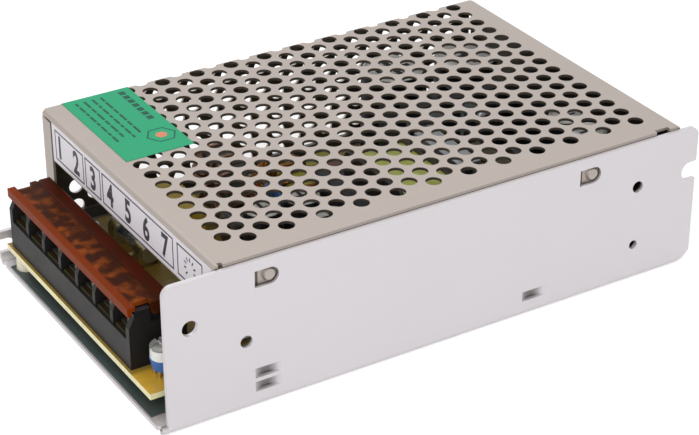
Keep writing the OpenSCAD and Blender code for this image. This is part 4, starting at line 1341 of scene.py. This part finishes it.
@dataclass
class ChokeWinding:
    """Round wire wound on one upright ring core whose axis lies along X.

    The arcs are the angles at which a winding starts, in degrees from straight down towards the perforated
    wall, and the sweep is the angle that each one covers.
    """

    shop: Paintshop
    node: str
    core_node: str
    wire: float
    turns: int
    arcs: tuple[float, ...]
    sweep: float
    finish: Finish
    bend: float = 1.4
    bend_steps: int = 3
    wire_sides: int = 8
    lead_turn: float = 5.0
    lead_sides: int = 10

    def build(self) -> None:
        """Makes the turns with a node tree and lets them stand for the solid winding."""
        low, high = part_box(self.core_node)
        centre = (low + high) / 2
        outer, half_width = (high.y - low.y) / 2, (high.x - low.x) / 2
        inner = self._inner_radius(centre)
        wire = self.wire * MM
        sizes = {
            "Turns": self.turns,
            "Step": math.radians(self.sweep / self.turns),
            "Middle": (inner + outer) / 2,
            "Depth": outer - inner + wire,
            "Width": half_width * 2 + wire,
            "Wire": wire / 2,
            "Copper": self.shop.material(self.finish),
        }
        mesh, tree = bmesh.new(), self._tree()
        for start in self.arcs:
            first = math.radians(start + self.sweep / self.turns / 2)
            data = self._wound(tree, {**sizes, "Start": first})
            data.transform(Matrix.Translation(centre))
            mesh.from_mesh(data)
        self._leads(mesh, centre, (inner + outer) / 2, half_width)
        piece = new_piece(self.node + "_wire", mesh, "root")
        self.shop.paint(piece, self.finish)
        for polygon in piece.data.polygons:
            polygon.use_smooth = True
        slot_of(self.node)
        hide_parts(self.node)
        LOG.info("choke winding: %s, %d faces", piece.name, len(piece.data.polygons))

    def _inner_radius(self, centre: Vector) -> float:
        """Radius of the core's hole, read from the core's own corners."""
        data = frame["nodes"][self.core_node].data
        return min(math.hypot(v.co.y - centre.y, v.co.z - centre.z) for v in data.vertices)

    @staticmethod
    def _wound(tree: bpy.types.NodeTree, values: dict[str, object]) -> bpy.types.Mesh:
        """Runs the node tree once.

        Args:
            tree: The tree that makes the turns.
            values: A value for each of the tree's named inputs.

        Returns:
            The turns of one arc, about the ring's middle.
        """
        source = placed("winding_source", bpy.data.meshes.new("winding_source"))
        modifier = source.modifiers.new("turns", "NODES")
        modifier.node_group = tree
        for item in tree.interface.items_tree:
            if item.item_type == "SOCKET" and item.in_out == "INPUT" and item.name in values:
                modifier[item.identifier] = values[item.name]
        return evaluated_mesh(source)

    def _leads(self, mesh: bmesh.types.BMesh, centre: Vector, middle: float, half_width: float) -> None:
        """Adds the lower wire ends of each winding, straight down to the board.

        Args:
            mesh: The mesh that takes them.
            centre: Middle of the ring.
            middle: Radius halfway through the ring.
            half_width: Half of the ring's width along X.
        """
        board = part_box("circuit_board")[1].z
        radius = self.wire / 2 * MM
        for start in self.arcs:
            ends = ((start + self.lead_turn, 1), (start + self.sweep - self.lead_turn, -1))
            for angle, side in ends:
                across, down = math.sin(math.radians(angle)), math.cos(math.radians(angle))
                if down < 0:
                    continue
                top = centre.z - middle * down
                place = (centre.x + side * (half_width + radius), centre.y + middle * across, (top + board) / 2)
                bmesh.ops.create_cone(
                    mesh, cap_ends=True, segments=self.lead_sides, radius1=radius, radius2=radius,
                    depth=top - board, matrix=Matrix.Translation(place),
                )

    def _tree(self) -> bpy.types.NodeTree:
        """Builds the node tree that places rounded wire loops round a ring with its axis along X.

        Returns:
            The new tree.
        """
        tree = bpy.data.node_groups.new("ring_winding", "GeometryNodeTree")
        inputs = {
            "Geometry": "Geometry", "Turns": "Int", "Start": "Float", "Step": "Float", "Middle": "Float",
            "Depth": "Float", "Width": "Float", "Wire": "Float", "Copper": "Material",
        }
        for name, kind in inputs.items():
            tree.interface.new_socket(name, in_out="INPUT", socket_type="NodeSocket" + kind)
        tree.interface.new_socket("Geometry", in_out="OUTPUT", socket_type="NodeSocketGeometry")
        graph = Graph(tree)
        given = graph.node("NodeGroupInput").outputs

        def step(kind: str, links: dict[str, object], **settings: object) -> bpy.types.Node:
            """Adds a node and feeds its inputs.

            Args:
                kind: The node's type, after GeometryNode.
                links: A socket or a value for each named input.
                settings: Attributes of the node and their values.

            Returns:
                The new node.
            """
            made = graph.node("GeometryNode" + kind, **settings)
            for name, value in links.items():
                graph.feed(made.inputs[name], value)
            return made

        def along(axis: str, value: Socket) -> Socket:
            """Makes a vector from its one coordinate.

            Args:
                axis: X, Y or Z.
                value: The coordinate.

            Returns:
                The vector.
            """
            made = graph.node("ShaderNodeCombineXYZ")
            graph.join(value, made.inputs[axis])
            return made.outputs[0]

        # One loop of wire, stood up and lowered by the ring's middle radius
        loop = step("CurvePrimitiveQuadrilateral", {"Width": given["Width"], "Height": given["Depth"]})
        bent = step(
            "FilletCurve",
            {"Curve": loop.outputs["Curve"], "Count": self.bend_steps, "Radius": self.bend * MM},
            mode="POLY",
        )
        rim = step("CurvePrimitiveCircle", {"Resolution": self.wire_sides, "Radius": given["Wire"]})
        swept = step(
            "CurveToMesh", {"Curve": bent.outputs["Curve"], "Profile Curve": rim.outputs["Curve"]}
        )
        lowered = along("Z", graph.math("MULTIPLY", given["Middle"], -1.0))
        upright = (math.radians(90), 0, 0)
        stood = step(
            "Transform", {"Geometry": swept.outputs["Mesh"], "Translation": lowered, "Rotation": upright}
        )
        # The loop, turned once for each point
        points = step("Points", {"Count": given["Turns"]})
        index = graph.node("GeometryNodeInputIndex").outputs[0]
        angle = graph.math("MULTIPLY_ADD", index, given["Step"], given["Start"])
        spread = step(
            "InstanceOnPoints",
            {"Points": points.outputs[0], "Instance": stood.outputs[0], "Rotation": along("X", angle)},
        )
        real = step("RealizeInstances", {"Geometry": spread.outputs["Instances"]})
        coated = step("SetMaterial", {"Geometry": real.outputs["Geometry"], "Material": given["Copper"]})
        out = graph.node("NodeGroupOutput")
        graph.join(coated.outputs["Geometry"], out.inputs["Geometry"])
        return tree


@dataclass
class PowerParts:
    """Everything that stands on the board under the cover."""

    shop: Paintshop
    bare_top: float = 0.5
    front_disc: float = 7.43
    rear_disc: float = 7.83

    def build(self) -> None:
        """Paints each part on the board and winds both chokes."""
        finishes = {**self._mains_side(), **self._output_side(), **self._sleeves()}
        self.shop.paint_nodes(finishes)
        for winding in self._windings():
            winding.build()
        LOG.info("power parts: %d nodes painted", len(finishes))

    @staticmethod
    def _epoxy() -> Finish:
        """Black epoxy of the moulded devices."""
        return Finish("black_epoxy_case", srgb(30, 30, 32), 0.4, 0, Grain.MOULDED, 0.25, 0.15, 0.01)

    @staticmethod
    def _steel() -> Finish:
        """Plated steel of the small metal parts."""
        return Finish("plated_board_steel", srgb(196, 198, 200), 0.3, 0.95, Grain.DRAWN, 0.12, 0.2, 0.004)

    def _mains_side(self) -> dict[str, Finish]:
        """Lists the finishes of the parts before the transformer.

        Returns:
            The finish for each node.
        """
        epoxy, steel = self._epoxy(), self._steel()
        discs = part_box("y_capacitors")
        # The discs at either end are darker than the one between them
        end_discs = (
            (discs[0].x - MM, discs[0].x + self.front_disc * MM),
            (discs[1].x - self.rear_disc * MM, discs[1].x + MM),
        )
        return {
            "fuse_glass": Finish(
                "fuse_tube_glass", srgb(235, 242, 242), 0.05, 0, Grain.DRAWN, 0.02, 0.02, 0.001, 0, 0.95, 1.45
            ),
            "fuse_caps": steel,
            "fuse_clips": Finish(
                "fuse_clip_brass", srgb(198, 178, 120), 0.32, 0.9, Grain.DRAWN, 0.2, 0.2, 0.006
            ),
            "inrush_thermistor": Finish(
                "thermistor_lacquer", srgb(52, 66, 54), 0.4, 0, Grain.FERRITE, 0.3, 0.2, 0.02
            ),
            "x_capacitor": Finish(
                "yellow_capacitor_case", srgb(216, 184, 66), 0.4, 0, Grain.MOULDED, 0.1, 0.1, 0.01
            ),
            "y_capacitors": BandedFinish(
                "blue_disc_lacquer", srgb(34, 84, 140), 0.3, 0, Grain.FERRITE, 0.15, 0.1, 0.02, 0.3,
                band=srgb(46, 40, 34), spans=end_discs,
            ),
            "filter_choke_core": Finish(
                "filter_ring_ferrite", srgb(84, 90, 84), 0.6, 0, Grain.FERRITE, 0.3, 0.1, 0.02
            ),
            "bridge_rectifier": epoxy,
            "switch_heatsink": Finish(
                "black_anodised_sink", srgb(44, 44, 48), 0.42, 0.5, Grain.ROLLED, 0.25, 0.2, 0.01
            ),
            "switch_transistors": epoxy,
            "switch_pads": Finish(
                "grey_insulating_pad", srgb(150, 158, 160), 0.6, 0, Grain.PRINTED, 0.1, 0.1, 0.01
            ),
            "switch_screws": steel,
            "coupling_capacitor": Finish(
                "rust_capacitor_case", srgb(112, 70, 42), 0.4, 0, Grain.MOULDED, 0.15, 0.1, 0.01
            ),
            "driver_core": Finish("driver_ferrite", srgb(78, 70, 54), 0.55, 0.1, Grain.FERRITE, 0.3, 0.2, 0.02),
            "driver_winding": Finish(
                "olive_driver_tape", srgb(104, 84, 34), 0.4, 0, Grain.TAPED, 0.3, 0.15, 0.03
            ),
            "bleeder_resistor": Finish(
                "olive_resistor_coating", srgb(166, 156, 66), 0.6, 0, Grain.FERRITE, 0.12, 0.1, 0.03
            ),
        }

    def _output_side(self) -> dict[str, Finish]:
        """Lists the finishes of the transformer and the parts after it.

        Returns:
            The finish for each node.
        """
        epoxy, steel = self._epoxy(), self._steel()
        return {
            "transformer_core": Finish(
                "transformer_ferrite", srgb(56, 56, 62), 0.55, 0.1, Grain.FERRITE, 0.3, 0.2, 0.02
            ),
            "transformer_bobbin": Finish(
                "bobbin_moulding", srgb(50, 44, 38), 0.45, 0, Grain.MOULDED, 0.1, 0.1, 0.01
            ),
            "transformer_winding": Finish(
                "lime_winding_tape", srgb(214, 222, 112), 0.32, 0, Grain.TAPED, 0.22, 0.15, 0.03
            ),
            "rectifier_heatsink": Finish(
                "mill_finish_sink", srgb(196, 200, 204), 0.35, 0.8, Grain.ROLLED, 0.12, 0.2, 0.01
            ),
            "output_rectifier": epoxy,
            "rectifier_screw": steel,
            "output_choke_core": Finish(
                "olive_ring_core", srgb(178, 170, 66), 0.5, 0, Grain.FERRITE, 0.15, 0.1, 0.02
            ),
            "controller_chip": epoxy,
            "diodes": epoxy,
            "jumper_wires": steel,
            "resistors": Finish(
                "resistor_lacquer", srgb(150, 176, 196), 0.35, 0, Grain.MOULDED, 0.1, 0.1, 0.01
            ),
        }

    def _sleeves(self) -> dict[str, Finish]:
        """Makes the sleeved cans' finishes, each with a bare top.

        Returns:
            The finish for each node.
        """
        sleeves = {
            "bulk_capacitors": srgb(24, 23, 26),
            "output_capacitors": srgb(34, 32, 36),
            "aux_capacitors": srgb(28, 29, 36),
        }
        return {
            node: TwoToneFinish(
                node + "_sleeve", sleeve, 0.4, 0, Grain.MOULDED, 0.1, 0.1, 0.006, ior=1.35,
                upper=srgb(206, 204, 200), upper_metallic=0.6,
                height=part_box(node)[1].z - self.bare_top * MM,
            )
            for node, sleeve in sleeves.items()
        }

    def _windings(self) -> tuple[ChokeWinding, ChokeWinding]:
        """Lists the windings of the two chokes.

        Returns:
            The output choke's and the filter choke's.
        """
        copper = Finish("enamelled_copper", srgb(146, 92, 40), 0.3, 0.75, Grain.DRAWN, 0.3, 0.2, 0.01)
        pink = Finish("filter_choke_copper", srgb(160, 124, 102), 0.32, 0.7, Grain.DRAWN, 0.3, 0.2, 0.01)
        return (
            ChokeWinding(
                self.shop, "output_choke_winding", "output_choke_core",
                wire=1.1, turns=22, arcs=(30,), sweep=300, finish=copper,
            ),
            ChokeWinding(
                self.shop, "filter_choke_winding", "filter_choke_core",
                wire=1.0, turns=10, arcs=(15, 195), sweep=150, finish=pink,
            ),
        )


# ----------------------------------------------------------------- the studio


@dataclass(frozen=True)
class Lamp:
    """A square soft light: its place and the length of its side in metres, and its power in watts."""

    name: str
    place: Triple
    size: float
    power: float


@dataclass
class Studio:
    """Pale floor, soft lights and the camera."""

    eye: Triple = (-0.2605, -0.42776, 0.29624)
    forward: Triple = (0.4555, 0.7420, -0.4918)
    upward: Triple = (0.2569, 0.4194, 0.8707)
    lens: float = 110.4
    sensor: float = 36.0
    nearest: float = 0.01
    farthest: float = 20.0
    floor_size: float = 6.0
    floor_colour: float = 0.86
    floor_glow: float = 0.3
    world_light: float = 0.43
    lamps: tuple[Lamp, ...] = (
        Lamp("key_softbox", (-0.55, -0.75, 0.75), 0.9, 9.4),
        Lamp("fill_softbox", (0.9, -0.5, 0.6), 1.0, 2.2),
        Lamp("top_softbox", (0.1, 0.5, 1.1), 1.2, 4.6),
    )

    def build(self) -> None:
        """Makes the camera, the lights, the world and the floor."""
        self._camera()
        self._world()
        self._floor()
        for lamp in self.lamps:
            self._hang(lamp)
        bpy.context.scene.view_settings.view_transform = "Standard"
        LOG.info("studio: camera, lights and floor done")

    def _camera(self) -> None:
        """Places the camera by its view direction and the direction that is up in the frame."""
        data = bpy.data.cameras.new("camera")
        data.lens = self.lens
        data.sensor_width = self.sensor
        data.clip_start = self.nearest
        data.clip_end = self.farthest
        camera = placed("camera", data)
        ahead = Vector(self.forward).normalized()
        right = ahead.cross(Vector(self.upward)).normalized()
        turn = Matrix((right, right.cross(ahead), -ahead)).transposed().to_4x4()
        camera.matrix_world = Matrix.Translation(self.eye) @ turn
        bpy.context.scene.camera = camera

    @staticmethod
    def _seen(graph: Graph) -> Socket:
        """Adds a mask of the rays that show the background: from the camera, off metal and through glass.

        Args:
            graph: Graph of the world or of the floor's material.

        Returns:
            The mask.
        """
        path = graph.node("ShaderNodeLightPath").outputs
        direct = graph.math("MAXIMUM", path["Is Camera Ray"], path["Is Transmission Ray"])
        return graph.math("MAXIMUM", direct, path["Is Glossy Ray"])

    def _world(self) -> None:
        """Lights evenly from all round, and shows as white to the camera, in metal and through glass."""
        world = bpy.data.worlds.new("studio_world")
        world.use_nodes = True
        graph = Graph(world.node_tree)
        background = world.node_tree.nodes["Background"].inputs
        background["Color"].default_value = (1, 1, 1, 1)
        extra = graph.math("MULTIPLY", self._seen(graph), 1 - self.world_light)
        graph.join(graph.math("ADD", extra, self.world_light), background["Strength"])
        bpy.context.scene.world = world

    def _floor(self) -> None:
        """Lays a plain pale floor that reads as white and still takes the shadow."""
        mesh = bmesh.new()
        bmesh.ops.create_grid(mesh, x_segments=1, y_segments=1, size=self.floor_size / 2)
        data = plain_mesh(mesh, "floor")
        floor = placed("floor", data)
        made = bpy.data.materials.new("pale_floor")
        made.use_nodes = True
        graph = Graph(made.node_tree)
        shader = made.node_tree.nodes["Principled BSDF"].inputs
        shader["Base Color"].default_value = rgba((self.floor_colour,) * 3)
        shader["Roughness"].default_value = 0.9
        shader["Specular IOR Level"].default_value = 0.1
        shader["Emission Color"].default_value = (1, 1, 1, 1)
        glow = graph.math("MULTIPLY", self._seen(graph), self.floor_glow)
        graph.join(glow, shader["Emission Strength"])
        data.materials.append(made)

    @staticmethod
    def _hang(lamp: Lamp) -> None:
        """Adds one lamp, facing the object.

        Args:
            lamp: The lamp.
        """
        data = bpy.data.lights.new(lamp.name, "AREA")
        data.shape = "SQUARE"
        data.size = lamp.size
        data.energy = lamp.power
        made = placed(lamp.name, data)
        made.location = lamp.place
        made.rotation_mode = "QUATERNION"
        made.rotation_quaternion = (-Vector(lamp.place)).to_track_quat("-Z", "Y")


def main() -> None:
    """Builds every sub-assembly in order."""
    logging.basicConfig(level=logging.INFO, format="%(name)s: %(message)s")
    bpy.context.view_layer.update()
    shop = Paintshop()
    Studio().build()
    for assembly in (Enclosure, PrintedLabels, TerminalBlock, BoardAndControls, PowerParts):
        assembly(shop).build()
    bpy.context.view_layer.update()


if __name__ == "__main__":
    main()
